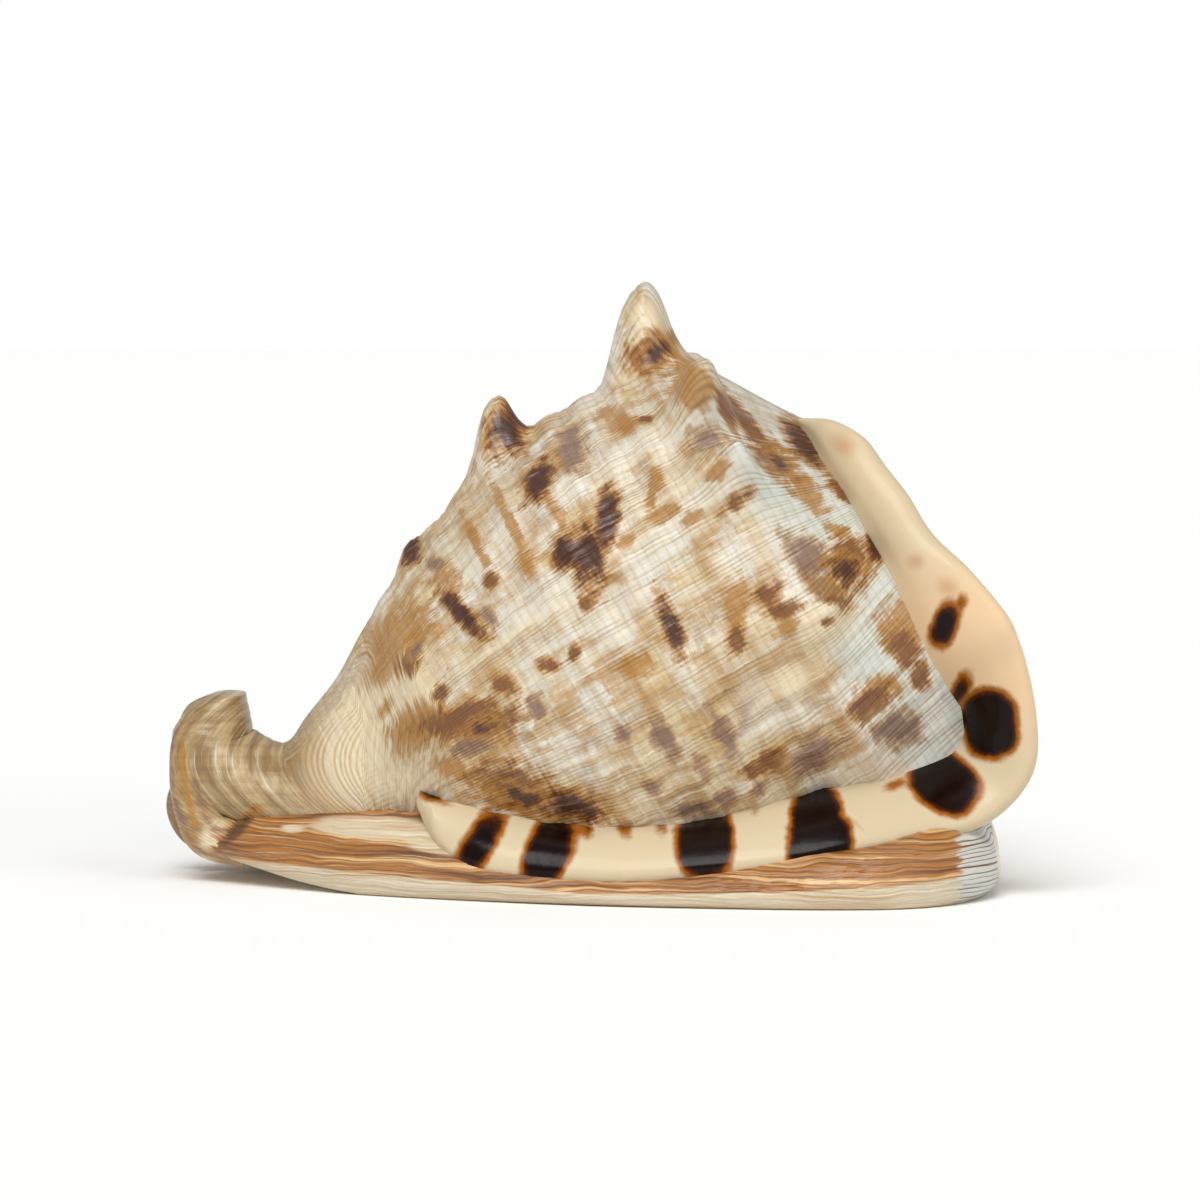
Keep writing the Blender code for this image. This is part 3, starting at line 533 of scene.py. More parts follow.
def spire_along(radius, turn):
    """Height of the spire along the axis, with its whorls wound in one spiral."""
    whorl = np.log(SPIRE_RADIUS / radius) / math.log(SPIRE_GROWTH) - turn / 360.0
    across = (whorl % 1.0) ** 0.7
    step = 0.5 - 0.5 * np.cos(math.tau * across)
    knob = np.maximum(np.cos(np.radians(turn * SPIRE_KNOBS)), 0.0) * np.exp(-((across - 0.42) / 0.16) ** 2)
    size = radius / SPIRE_RADIUS
    cone = SPIRE_FOOT_ALONG + SPIRE_HEIGHT * (1 - size)
    return cone + radius * SPIRE_STEP_HEIGHT * step + SPIRE_KNOB_HEIGHT * size * knob


def whorl_front(x, z):
    """The y of the whorl's wall on the shield's side, seen from the front at x and z."""
    right = x - AXIS_START[0]
    up = z - AXIS_START[2]
    along = right * math.cos(AXIS_TILT) + up * math.sin(AXIS_TILT)
    height = -right * math.sin(AXIS_TILT) + up * math.cos(AXIS_TILT)
    turn = np.full(np.shape(x), -90.0)
    for _ in range(40):
        ratio = np.clip(height / whorl_radius(along, turn), -0.999, 0.999)
        turn = 0.5 * turn - 0.5 * np.degrees(np.arccos(ratio))
    return AXIS_START[1] + whorl_radius(along, turn) * np.sin(np.radians(turn))


def bend_way(x, z):
    """The way sideways to a path, in the plane of its bend."""
    ahead_x, ahead_z = np.gradient(x), np.gradient(z)
    long = np.hypot(ahead_x, ahead_z)
    return np.stack([-ahead_z / long, np.zeros(len(x)), ahead_x / long], axis=1)


def oval_rings(middle, bend, half_bend, half_across, columns):
    """Oval rings along a path, by their half widths in its bend and across it."""
    angle = np.linspace(0, math.tau, columns + 1)
    in_bend = bend[:, None] * (half_bend[:, None] * np.cos(angle))[..., None]
    across = np.array((0, 1, 0)) * (half_across[:, None] * np.sin(angle))[..., None]
    return middle[:, None] + in_bend + across


def deselect():
    """Leaves nothing selected, so that an operator acts only on what comes next."""
    if bpy.context.object and bpy.context.object.mode != "OBJECT":
        bpy.ops.object.mode_set(mode="OBJECT")
    bpy.ops.object.select_all(action="DESELECT")


def lay_down(name, points):
    """A closed piece from a grid laid on rows of points. Each row is a ring whose last point is its first."""
    rows, columns = points.shape[:2]
    deselect()
    bpy.ops.mesh.primitive_grid_add(x_subdivisions=columns - 1, y_subdivisions=rows - 1, size=1.0)
    piece = bpy.context.object
    piece.name = name
    piece.data.name = name
    flat = np.empty(len(piece.data.vertices) * 3)
    piece.data.vertices.foreach_get("co", flat)
    flat = flat.reshape(-1, 3)
    column = np.rint((flat[:, 0] + 0.5) * (columns - 1)).astype(int)
    row = np.rint((flat[:, 1] + 0.5) * (rows - 1)).astype(int)
    placed = (points[row, column] - MIDDLE) * MM
    piece.data.vertices.foreach_set("co", placed.ravel())
    bpy.ops.object.mode_set(mode="EDIT")
    bpy.ops.mesh.select_mode(type="VERT")
    bpy.ops.mesh.select_all(action="SELECT")
    bpy.ops.mesh.remove_doubles(threshold=2e-6)
    bpy.ops.mesh.fill_holes(sides=0)
    bpy.ops.mesh.select_all(action="SELECT")
    bpy.ops.mesh.normals_make_consistent(inside=False)
    bpy.ops.mesh.select_all(action="DESELECT")
    bpy.ops.object.mode_set(mode="OBJECT")
    return piece


def places_of(piece):
    """The places of a piece's points in the measures of this file."""
    flat = np.empty(len(piece.data.vertices) * 3)
    piece.data.vertices.foreach_get("co", flat)
    return flat.reshape(-1, 3) / MM + MIDDLE


def keep(piece, name, values):
    """Keeps a number for each point of a piece, for its finish to read."""
    layer = piece.data.attributes.get(name) or piece.data.attributes.new(name, "FLOAT", "POINT")
    layer.data.foreach_set("value", np.ascontiguousarray(values, dtype=np.float32))


def keep_vector(piece, name, columns):
    """Keeps three numbers for each point of a piece, for its finish to read."""
    layer = piece.data.attributes.get(name) or piece.data.attributes.new(name, "FLOAT_VECTOR", "POINT")
    layer.data.foreach_set("vector", np.stack(columns, axis=1).astype(np.float32).ravel())


def mark_field(across, up, marks):
    """How deep each place lies in its nearest mark: above 0 inside, 1 in the middle of a full one."""
    field = np.full(len(across), NO_MARK)
    for mark in marks:
        mark_across, mark_up, half_length, half_width, lean = mark[:5]
        strength = mark[5] if len(mark) > 5 else 1.0
        right = across - mark_across
        high = up - mark_up
        cos, sin = math.cos(math.radians(lean)), math.sin(math.radians(lean))
        length = (right * cos + high * sin) / half_length
        width = (-right * sin + high * cos) / half_width
        field = np.maximum(field, strength - np.hypot(length, width))
    return field


def bar_field(across, up, bars):
    """How deep each place lies in a bar, in millimetres, with the corners of a bar filled out."""
    field = np.full(len(across), NO_BAR)
    for bar_across, bar_up, half_length, half_width, lean in bars:
        right = across - bar_across
        high = up - bar_up
        cos, sin = math.cos(math.radians(lean)), math.sin(math.radians(lean))
        length = np.abs(right * cos + high * sin) / half_length
        width = np.abs(-right * sin + high * cos) / half_width
        out = (length ** 2.5 + width ** 2.5) ** (1 / 2.5)
        field = np.maximum(field, (1 - out) * min(half_length, half_width))
    return field


def tree_of(piece):
    """A search tree over the faces of a piece, in metres."""
    points = [vertex.co.copy() for vertex in piece.data.vertices]
    faces = [tuple(face.vertices) for face in piece.data.polygons]
    return BVHTree.FromPolygons(points, faces)


def outside(tree, point):
    """How far a point is outside a piece, less than 0 inside it, and the way out."""
    near, normal, _, away = tree.find_nearest(point)
    gap = point - near
    if away < 1e-7:
        return 0.0, normal
    side = 1.0 if gap.dot(normal) >= 0 else -1.0
    return side * away, gap / (side * away)


def grow_together(first, second, reach, region):
    """Fills the crease between two pieces in a region with a hollow curve, as a shell grows in layers."""
    reach *= MM
    trees = (tree_of(first), tree_of(second))
    moved = []
    for own, other, piece in ((0, 1, first), (1, 0, second)):
        for vertex in piece.data.vertices:
            if not region(vertex.co / MM + Vector(MIDDLE)):
                continue
            if trees[other].find_nearest(vertex.co, reach)[0] is None:
                continue
            gap = outside(trees[other], vertex.co)[0]
            if gap < GROWN_DEPTHS[0] * reach:
                continue
            point = vertex.co.copy()
            for _ in range(GROWN_ROUNDS):
                own_gap, own_way = outside(trees[own], point)
                other_gap, other_way = outside(trees[other], point)
                near = max(reach - abs(own_gap - other_gap), 0.0) / reach
                surface = min(own_gap, other_gap) - near * near * reach / 4
                share = near / 2 if own_gap < other_gap else 1 - near / 2
                way = own_way * (1 - share) + other_way * share
                if way.length < 0.55:
                    break
                step = surface / way.length_squared
                point -= way * min(max(step, -reach / 6), reach / 6)
            point.z = max(point.z, 0.0)
            share = float(smooth_step(*GROWN_DEPTHS, gap / reach))
            moved.append((vertex, vertex.co.lerp(point, share)))
    for vertex, point in moved:
        vertex.co = point
    first.data.update()
    second.data.update()


def cut(piece, cutter):
    """Cuts one piece out of another."""
    deselect()
    bpy.context.view_layer.objects.active = piece
    modifier = piece.modifiers.new("cut", "BOOLEAN")
    modifier.operation = "DIFFERENCE"
    modifier.solver = "EXACT"
    modifier.object = cutter
    bpy.ops.object.modifier_apply(modifier=modifier.name)


def smooth(piece, angle=50.0):
    """Shades a piece smooth but for its sharp edges."""
    deselect()
    piece.select_set(True)
    bpy.context.view_layer.objects.active = piece
    bpy.ops.object.shade_smooth_by_angle(angle=math.radians(angle))


def node(tree, kind, settings=None, inputs=None):
    """Adds a node with its settings, its values and its links."""
    made = tree.nodes.new(kind)
    for name, value in (settings or {}).items():
        setattr(made, name, value)
    for socket, value in (inputs or {}).items():
        if isinstance(value, bpy.types.NodeSocket):
            tree.links.new(value, made.inputs[socket])
        else:
            made.inputs[socket].default_value = value
    return made


def add(tree, operation, first, second=0.0, third=0.0):
    """The result of one step of arithmetic."""
    return node(tree, "ShaderNodeMath", {"operation": operation}, {0: first, 1: second, 2: third}).outputs[0]


def blend_colour(tree, share, below, above, kind="MIX"):
    """One colour laid over another by a share."""
    below = below if isinstance(below, bpy.types.NodeSocket) else (*below, 1.0)
    above = above if isinstance(above, bpy.types.NodeSocket) else (*above, 1.0)
    return node(tree, "ShaderNodeMix", {"data_type": "RGBA", "blend_type": kind},
                {0: share, 6: below, 7: above}).outputs[2]


def ease(tree, value, low, high, start=0.0, end=1.0):
    """A value brought smoothly from one range to another."""
    return node(tree, "ShaderNodeMapRange", {"interpolation_type": "SMOOTHSTEP"},
                {0: value, 1: low, 2: high, 3: start, 4: end}).outputs[0]


def noise(tree, vector, scale, detail=3.0, roughness=0.55):
    """Cloudy noise about 0.5, its scale in turns for each unit of the vector."""
    return node(tree, "ShaderNodeTexNoise", {}, {"Vector": vector, "Scale": scale, "Detail": detail,
                                                 "Roughness": roughness}).outputs[0]


def new_finish(name):
    """An empty material with its shader."""
    material = bpy.data.materials.new(name)
    material.use_nodes = True
    return material, material.node_tree, material.node_tree.nodes["Principled BSDF"]


def stretched(tree, vector, x, y, z):
    """A vector stretched along its axes."""
    return node(tree, "ShaderNodeMapping", {}, {"Vector": vector, "Scale": (x, y, z)}).outputs[0]


def outside_finish(colours, sizes):
    """Grown aragonite: satin beige, checked with tan and mottled brown, with fine growth lines in it."""
    # The shell was laid down in thin layers and never polished, so it is satin, with soft broken lights,
    # and a thin clear skin where the sea has worn it smooth.
    material, tree, shader = new_finish("grown aragonite, mottled")
    place = node(tree, "ShaderNodeAttribute", {"attribute_name": "shell_place"}).outputs["Vector"]
    parts = node(tree, "ShaderNodeSeparateXYZ", {}, {0: place}).outputs
    along, grown = parts[0], parts[1]
    marks = [node(tree, "ShaderNodeAttribute", {"attribute_name": name}).outputs["Fac"]
             for name in ("dark_marks_and_crease_shade", "purple_marks_and_rim_shade", "red_marks", "gold_marks", "pale_marks")]
    ramp, glaze, beak, worn_and_highlight = [node(tree, "ShaderNodeAttribute", {"attribute_name": name}).outputs["Fac"]
                                for name in ("ramp", "glaze", "beak", "worn_and_highlight")]

    # Growth lines lie about 1.35 mm apart, wander by a millimetre or two and are stronger in some places.
    wander = noise(tree, stretched(tree, place, 0.02, 0.10, 0.0), 1.0, 2.0)
    line_turns = math.tau / (sizes.stria_spacing / MM)
    phase = add(tree, "MULTIPLY_ADD", wander, 14.0, add(tree, "MULTIPLY", grown, line_turns))
    lines = add(tree, "MULTIPLY_ADD", add(tree, "SINE", phase), 0.5, 0.5)
    strong = noise(tree, stretched(tree, place, 0.03, 0.25, 0.0), 1.0, 3.0)
    line_depth = add(tree, "MULTIPLY", lines, ease(tree, strong, 0.38, 0.62, 0.15, 1.0))
    # Streaks along the growth lines, some 1.5 mm wide and 25 mm long, and others along the spiral.
    streaks = noise(tree, stretched(tree, place, 0.04, 0.70, 0.0), 1.0, 3.0, 0.7)
    spiral = noise(tree, stretched(tree, place, 0.60, 0.045, 0.0), 1.0, 3.0, 0.7)

    # Spiral threads of 3 mm cross the growth lines, within bands of 12.5 mm.
    band_turns = math.tau / (sizes.band_spacing / MM)
    thread = add(tree, "MULTIPLY_ADD", wander, 5.0, add(tree, "MULTIPLY", along, 4 * band_turns))
    thread = add(tree, "SINE", thread)
    band = add(tree, "MULTIPLY_ADD", wander, 1.6, add(tree, "MULTIPLY", along, band_turns))
    band = add(tree, "COSINE", band)

    # The ground is checked: patches of about 10 mm between tan lines that follow the bands and the growth.
    wobble = add(tree, "MULTIPLY_ADD", streaks, 0.30, add(tree, "MULTIPLY", along, 0.085))
    wobble_round = add(tree, "MULTIPLY_ADD", spiral, 0.35, add(tree, "MULTIPLY", grown, 0.075))
    check_place = node(tree, "ShaderNodeCombineXYZ", {}, {0: wobble, 1: wobble_round}).outputs[0]
    check = node(tree, "ShaderNodeTexVoronoi", {"distance": "CHEBYCHEV", "voronoi_dimensions": "2D"},
                 {"Vector": check_place, "Scale": 1.0, "Randomness": 0.62})
    patch = node(tree, "ShaderNodeSeparateColor", {}, {0: check.outputs["Color"]}).outputs[0]
    rim = ease(tree, check.outputs["Distance"], 0.34, 0.56)

    # Clouds of 20 to 30 mm carry the ground from beige to cream, and smaller ones make it tan or grey.
    cloud = noise(tree, stretched(tree, place, 0.045, 0.035, 0.0), 1.0, 4.0)
    ground = blend_colour(tree, ease(tree, cloud, 0.40, 0.60), colours.ground, colours.warm_ground)
    checked = noise(tree, stretched(tree, place, 0.022, 0.020, 0.0), 1.0, 2.0)
    checked = ease(tree, checked, 0.38, 0.60, 0.15, 1.0)
    pale_share = add(tree, "MULTIPLY", ease(tree, patch, 0.45, 0.95, 0.0, 0.75), checked)
    ground = blend_colour(tree, pale_share, ground, colours.pale)
    tan_share = add(tree, "MULTIPLY", ease(tree, patch, 0.40, 0.05, 0.0, 0.50), checked)
    ground = blend_colour(tree, tan_share, ground, colours.tan)
    tan_cloud = noise(tree, stretched(tree, place, 0.060, 0.11, 0.0), 1.0, 5.0, 0.65)
    ground = blend_colour(tree, ease(tree, tan_cloud, 0.48, 0.62, 0.0, 0.70), ground, colours.tan)
    line_share = add(tree, "MULTIPLY", add(tree, "MULTIPLY", rim, 0.65), checked)
    ground = blend_colour(tree, line_share, ground, colours.tan)
    ground = blend_colour(tree, ease(tree, band, 0.80, 1.0, 0.0, 0.35), ground, colours.gold)
    grey_cloud = noise(tree, stretched(tree, place, 0.07, 0.08, 0.3), 1.0, 5.0, 0.6)
    ground = blend_colour(tree, ease(tree, grey_cloud, 0.54, 0.66, 0.0, 0.50), ground, colours.lilac)
    ground = blend_colour(tree, ease(tree, streaks, 0.54, 0.68, 0.0, 0.60), ground, colours.pale)
    ground = blend_colour(tree, ease(tree, spiral, 0.57, 0.70, 0.0, 0.45), ground, colours.pale)
    ground = blend_colour(tree, ease(tree, spiral, 0.42, 0.30, 0.0, 0.40), ground, colours.tan)
    ground = blend_colour(tree, add(tree, "MULTIPLY", ramp, 0.82), ground, colours.ramp)
    # The beak is grey brown horn in clouds of 15 mm, drawn out along its growth lines.
    beak_cloud = noise(tree, stretched(tree, place, 0.07, 0.22, 0.0), 1.0, 5.0, 0.65)
    horn = blend_colour(tree, ease(tree, beak_cloud, 0.38, 0.64), colours.beak, colours.beak_pale)
    horn = blend_colour(tree, ease(tree, streaks, 0.58, 0.72, 0.0, 0.55), horn, colours.pale)
    horn = blend_colour(tree, ease(tree, streaks, 0.42, 0.30, 0.0, 0.55), horn, colours.beak_dark)
    ground = blend_colour(tree, beak, ground, horn)
    # Cream for worn places, and painted highlight on the crests of the ribs and along one spiral thread.
    ground = blend_colour(tree, worn_and_highlight, ground, colours.cream)

    # Small flecks in rows along the spiral bands.
    fleck = noise(tree, stretched(tree, place, 0.16, 0.20, 0.0), 1.0, 3.0, 0.6)
    fleck = add(tree, "MULTIPLY_ADD", streaks, 0.22, add(tree, "MULTIPLY_ADD", spiral, 0.22, fleck))
    fleck = ease(tree, fleck, 0.87, 0.97, 0.0, 0.45)
    fleck_share = add(tree, "MULTIPLY", fleck, add(tree, "SUBTRACT", 1.0, beak))
    ground = blend_colour(tree, fleck_share, ground, colours.brown)

    # The marks have torn edges, drawn out along the growth lines and along the spiral.
    ragged = noise(tree, stretched(tree, place, 0.17, 0.20, 0.0), 1.0, 5.0, 0.65)
    edge = add(tree, "MULTIPLY_ADD", ragged, 2.6, -2.25)
    edge = add(tree, "MULTIPLY_ADD", streaks, 1.1, add(tree, "MULTIPLY_ADD", spiral, 0.8, edge))
    edge = add(tree, "MULTIPLY_ADD", lines, 0.16, add(tree, "SUBTRACT", edge, 0.08))
    dark, purple, red, gold, pale = [add(tree, "ADD", mark, edge) for mark in marks]
    colour = blend_colour(tree, ease(tree, pale, -0.50, 0.40, 0.0, 0.58), ground, colours.pale)
    colour = blend_colour(tree, ease(tree, gold, -0.45, 0.30, 0.0, 0.85), colour, colours.gold)
    colour = blend_colour(tree, ease(tree, red, -0.50, 0.02, 0.0, 0.80), colour, colours.gold)
    colour = blend_colour(tree, ease(tree, red, -0.10, 0.35, 0.0, 0.90), colour, colours.brown)
    # On the rims of the beak the purple marks are a band of painted shade just inside their edges.
    colour = blend_colour(tree, ease(tree, purple, -0.50, 0.0, 0.0, 0.65), colour, colours.tan)
    colour = blend_colour(tree, ease(tree, purple, -0.30, 0.55, 0.0, 0.82), colour, colours.purple)
    # On the beak and its rims the dark marks are painted shade in the hollow beside the beak and along the
    # creases.
    colour = blend_colour(tree, ease(tree, dark, -0.60, -0.05, 0.0, 0.80), colour, colours.gold)
    colour = blend_colour(tree, ease(tree, dark, -0.15, 0.22, 0.0, 0.92), colour, colours.brown)
    colour = blend_colour(tree, ease(tree, dark, 0.12, 0.60, 0.0, 0.88), colour, colours.dark)
    # Growth wears pale lines through the marks.
    colour = blend_colour(tree, ease(tree, streaks, 0.60, 0.74, 0.0, 0.45), colour, colours.ground)

    shaded = blend_colour(tree, 1.0, colour, colours.line, "MULTIPLY")
    colour = blend_colour(tree, add(tree, "MULTIPLY", ease(tree, line_depth, 0.15, 1.0, 0.0, 0.55),
                                     ease(tree, beak, 0.3, 1.0, 1.0, 0.55)), colour, shaded)
    colour = blend_colour(tree, ease(tree, thread, 0.1, 1.0, 0.0, 0.18), colour, shaded)
    # The glaze of the callus creeps a few millimetres over the whorl, with a soft edge.
    creep = add(tree, "MULTIPLY_ADD", add(tree, "SUBTRACT", ragged, 0.5), 1.2, glaze)
    colour = blend_colour(tree, ease(tree, creep, 0.35, 0.75), colour, colours.enamel)
    tree.links.new(colour, shader.inputs["Base Color"])

    # What a finger feels least, below a millimetre, is bump: growth lines, threads and worn pits.
    height = add(tree, "MULTIPLY_ADD", lines, -0.05, add(tree, "MULTIPLY", streaks, 0.4))
    height = add(tree, "MULTIPLY_ADD", thread, -0.03, height)
    height = add(tree, "MULTIPLY_ADD", spiral, 0.25, add(tree, "MULTIPLY_ADD", ragged, 0.4, height))
    bump = node(tree, "ShaderNodeBump", {}, {"Strength": 0.9, "Distance": 1.0 * MM, "Height": height})
    tree.links.new(bump.outputs[0], shader.inputs["Normal"])
    tree.links.new(ease(tree, cloud, 0.3, 0.7, 0.30, 0.46), shader.inputs["Roughness"])
    shader.inputs["IOR"].default_value = 1.56
    shader.inputs["Specular IOR Level"].default_value = 0.4
    shader.inputs["Coat Weight"].default_value = 0.12
    shader.inputs["Coat Roughness"].default_value = 0.18
    return material


def enamel_finish(colours):
    """Polished aragonite enamel, smooth as glazed porcelain: cream to peach with burnt bars in it."""
    # The lips are the smoothest part, glazed by the animal itself: a clean gloss over a cream that light
    # enters by a few millimetres, and nearly black bars that look sunk in it.
    material, tree, shader = new_finish("aragonite enamel, barred")
    where = node(tree, "ShaderNodeTexCoord").outputs["Object"]
    bar, blush, warm = [node(tree, "ShaderNodeAttribute", {"attribute_name": name}).outputs["Fac"]
                        for name in ("bar", "blush", "warm")]
    cloud = noise(tree, where, 22.0, 3.0)
    colour = blend_colour(tree, add(tree, "MULTIPLY_ADD", cloud, 0.35, add(tree, "SUBTRACT", warm, 0.17)),
                          colours.enamel, colours.enamel_peach)
    soft = noise(tree, where, 90.0, 3.0)
    colour = blend_colour(tree, ease(tree, add(tree, "MULTIPLY_ADD", soft, 0.5, blush), 0.1, 1.2, 0.0, 0.5),
                          colour, colours.blush)
    # The bars fade out through amber over a millimetre or two, with a ragged edge.
    ragged = noise(tree, where, 160.0, 4.0, 0.6)
    broad = noise(tree, where, 45.0, 2.0)
    deep = add(tree, "MULTIPLY_ADD", add(tree, "SUBTRACT", ragged, 0.5), 2.6,
               add(tree, "MULTIPLY_ADD", add(tree, "SUBTRACT", broad, 0.5), 3.0, bar))
    colour = blend_colour(tree, ease(tree, deep, -1.5, 0.2, 0.0, 1.0), colour, colours.halo)
    colour = blend_colour(tree, ease(tree, deep, 0.1, 1.3, 0.0, 1.0), colour, colours.burnt)
    colour = blend_colour(tree, ease(tree, deep, 0.8, 2.4, 0.0, 1.0), colour, colours.bar)
    tree.links.new(colour, shader.inputs["Base Color"])
    bump = node(tree, "ShaderNodeBump", {}, {"Strength": 0.35, "Distance": 0.5 * MM,
                                             "Height": noise(tree, where, 130.0, 3.0)})
    tree.links.new(bump.outputs[0], shader.inputs["Normal"])
    tree.links.new(ease(tree, cloud, 0.3, 0.7, 0.16, 0.28), shader.inputs["Roughness"])
    shader.inputs["IOR"].default_value = 1.58
    shader.inputs["Specular IOR Level"].default_value = 0.11
    shader.inputs["Coat Weight"].default_value = 0.04
    shader.inputs["Coat Roughness"].default_value = 0.08
    shader.inputs["Subsurface Weight"].default_value = 0.12
    shader.inputs["Subsurface Radius"].default_value = (4 * MM, 2.5 * MM, 1.5 * MM)
    shader.inputs["Subsurface Scale"].default_value = 1.0
    return material


def ledge_finish(colours, sizes):
    """Layered aragonite and horn: the worn edges of hundreds of thin sheets, brown between cream."""
    # Worn edges of sheets about 1.5 mm thick, brown between cream, with a slight gloss on their crests.
    material, tree, shader = new_finish("layered aragonite, ledge")
    place = node(tree, "ShaderNodeAttribute", {"attribute_name": "layer_place"}).outputs["Vector"]
    parts = node(tree, "ShaderNodeSeparateXYZ", {}, {0: place}).outputs
    height, tone = parts[1], parts[2]
    # The layers wave up and down by a few millimetres along the ledge, and pinch out. The wide ones are
    # some 2.5 mm thick and 100 mm long, and the thin ones 0.7 mm and 45 mm.
    drift = noise(tree, stretched(tree, place, 0.020, 0.05, 0.0), 1.0, 3.0)
    level = add(tree, "MULTIPLY_ADD", drift, 9.0, height)
    layered = node(tree, "ShaderNodeCombineXYZ", {}, {0: parts[0], 1: level}).outputs[0]
    wide = noise(tree, stretched(tree, layered, 0.010, 0.42, 0.0), 1.0, 4.0, 0.6)
    thin = noise(tree, stretched(tree, layered, 0.022, 1.5, 0.0), 1.0, 4.0, 0.7)
    turns = math.tau / (sizes.layer_spacing / MM)
    phase = add(tree, "MULTIPLY_ADD", wide, 12.0, add(tree, "MULTIPLY", level, turns))
    lines = add(tree, "MULTIPLY_ADD", add(tree, "SINE", phase), 0.5, 0.5)
    brown = blend_colour(tree, ease(tree, wide, 0.36, 0.50), colours.layer_dark, colours.layer)
    brown = blend_colour(tree, ease(tree, wide, 0.50, 0.62, 0.0, 0.95), brown, colours.layer_pale)
    brown = blend_colour(tree, ease(tree, thin, 0.56, 0.70, 0.0, 0.75), brown, colours.enamel)
    brown = blend_colour(tree, ease(tree, thin, 0.42, 0.32, 0.0, 0.70), brown, colours.layer_dark)
    brown = blend_colour(tree, ease(tree, lines, 0.0, 0.30, 0.65, 0.0), brown, colours.layer_dark)
    pale = blend_colour(tree, ease(tree, thin, 0.46, 0.62, 0.0, 0.55), colours.enamel, colours.layer_white)
    pale = blend_colour(tree, ease(tree, wide, 0.48, 0.36, 0.0, 0.45), pale, colours.layer)
    ragged = add(tree, "MULTIPLY_ADD", add(tree, "SUBTRACT", wide, 0.5), 1.3, tone)
    colour = blend_colour(tree, ease(tree, ragged, 0.20, 0.55), pale, brown)
    end, groove_shade = [node(tree, "ShaderNodeAttribute", {"attribute_name": name}).outputs["Fac"]
                   for name in ("layer_end", "groove_shade")]
    grey = blend_colour(tree, ease(tree, lines, 0.0, 0.22, 1.0, 0.0), colours.layer_grey, colours.layer_dark)
    colour = blend_colour(tree, end, colour, grey)
    # Painted shade darkens the ledge in the hollow beside the beak and in thin lines along its crease with
    # the whorl.
    dim = add(tree, "MULTIPLY_ADD", add(tree, "SUBTRACT", thin, 0.5), 1.2, groove_shade)
    colour = blend_colour(tree, ease(tree, dim, -0.2, 0.6, 0.0, 0.85), colour, colours.groove_shade)
    tree.links.new(colour, shader.inputs["Base Color"])
    rise = add(tree, "MULTIPLY_ADD", lines, 0.35, add(tree, "MULTIPLY", thin, 0.7))
    bump = node(tree, "ShaderNodeBump", {}, {"Strength": 0.8, "Distance": 0.8 * MM, "Height": rise})
    tree.links.new(bump.outputs[0], shader.inputs["Normal"])
    shader.inputs["Roughness"].default_value = 0.38
    shader.inputs["IOR"].default_value = 1.55
    shader.inputs["Coat Weight"].default_value = 0.25
    shader.inputs["Coat Roughness"].default_value = 0.15
    return material


def floor_finish(stage):
    """Matt white card, which gives an even pale ground and soft shadows."""
    # Card scatters all light, so it has no gloss and takes a soft shadow.
    material, _, shader = new_finish("matt card")
    shader.inputs["Base Color"].default_value = (*stage.floor_colour, 1.0)
    shader.inputs["Roughness"].default_value = 0.9
    return material


def colour_value(name, description, value):
    """A colour that a user would change."""
    return FloatVectorProperty(name=name, description=description, subtype="COLOR", size=3, min=0.0, max=1.0,
                               default=linear(value))


def length_value(name, description, value):
    """A length that a user would change."""
    return FloatProperty(name=name, description=description, subtype="DISTANCE", unit="LENGTH",
                         precision=5, min=0.0, default=value * MM)


class ShellSizes(bpy.types.PropertyGroup):
    """Sizes of the fine relief and of the layers."""

    band_spacing: length_value("Band spacing", "Distance between two spiral bands on the whorl", 12.5)
    band_height: length_value("Band height", "How far a spiral band stands up", 0.45)
    growth_height: length_value("Growth wave height", "How far a wave of growth stands up", 0.20)
    stria_spacing: length_value("Growth line spacing", "Distance between two fine growth lines", 1.35)
    layer_spacing: length_value("Layer spacing", "Thickness of one layer in the ledge of the shield", 1.5)
    layer_relief: length_value("Layer relief", "How far the edge of a layer stands out", 0.5)


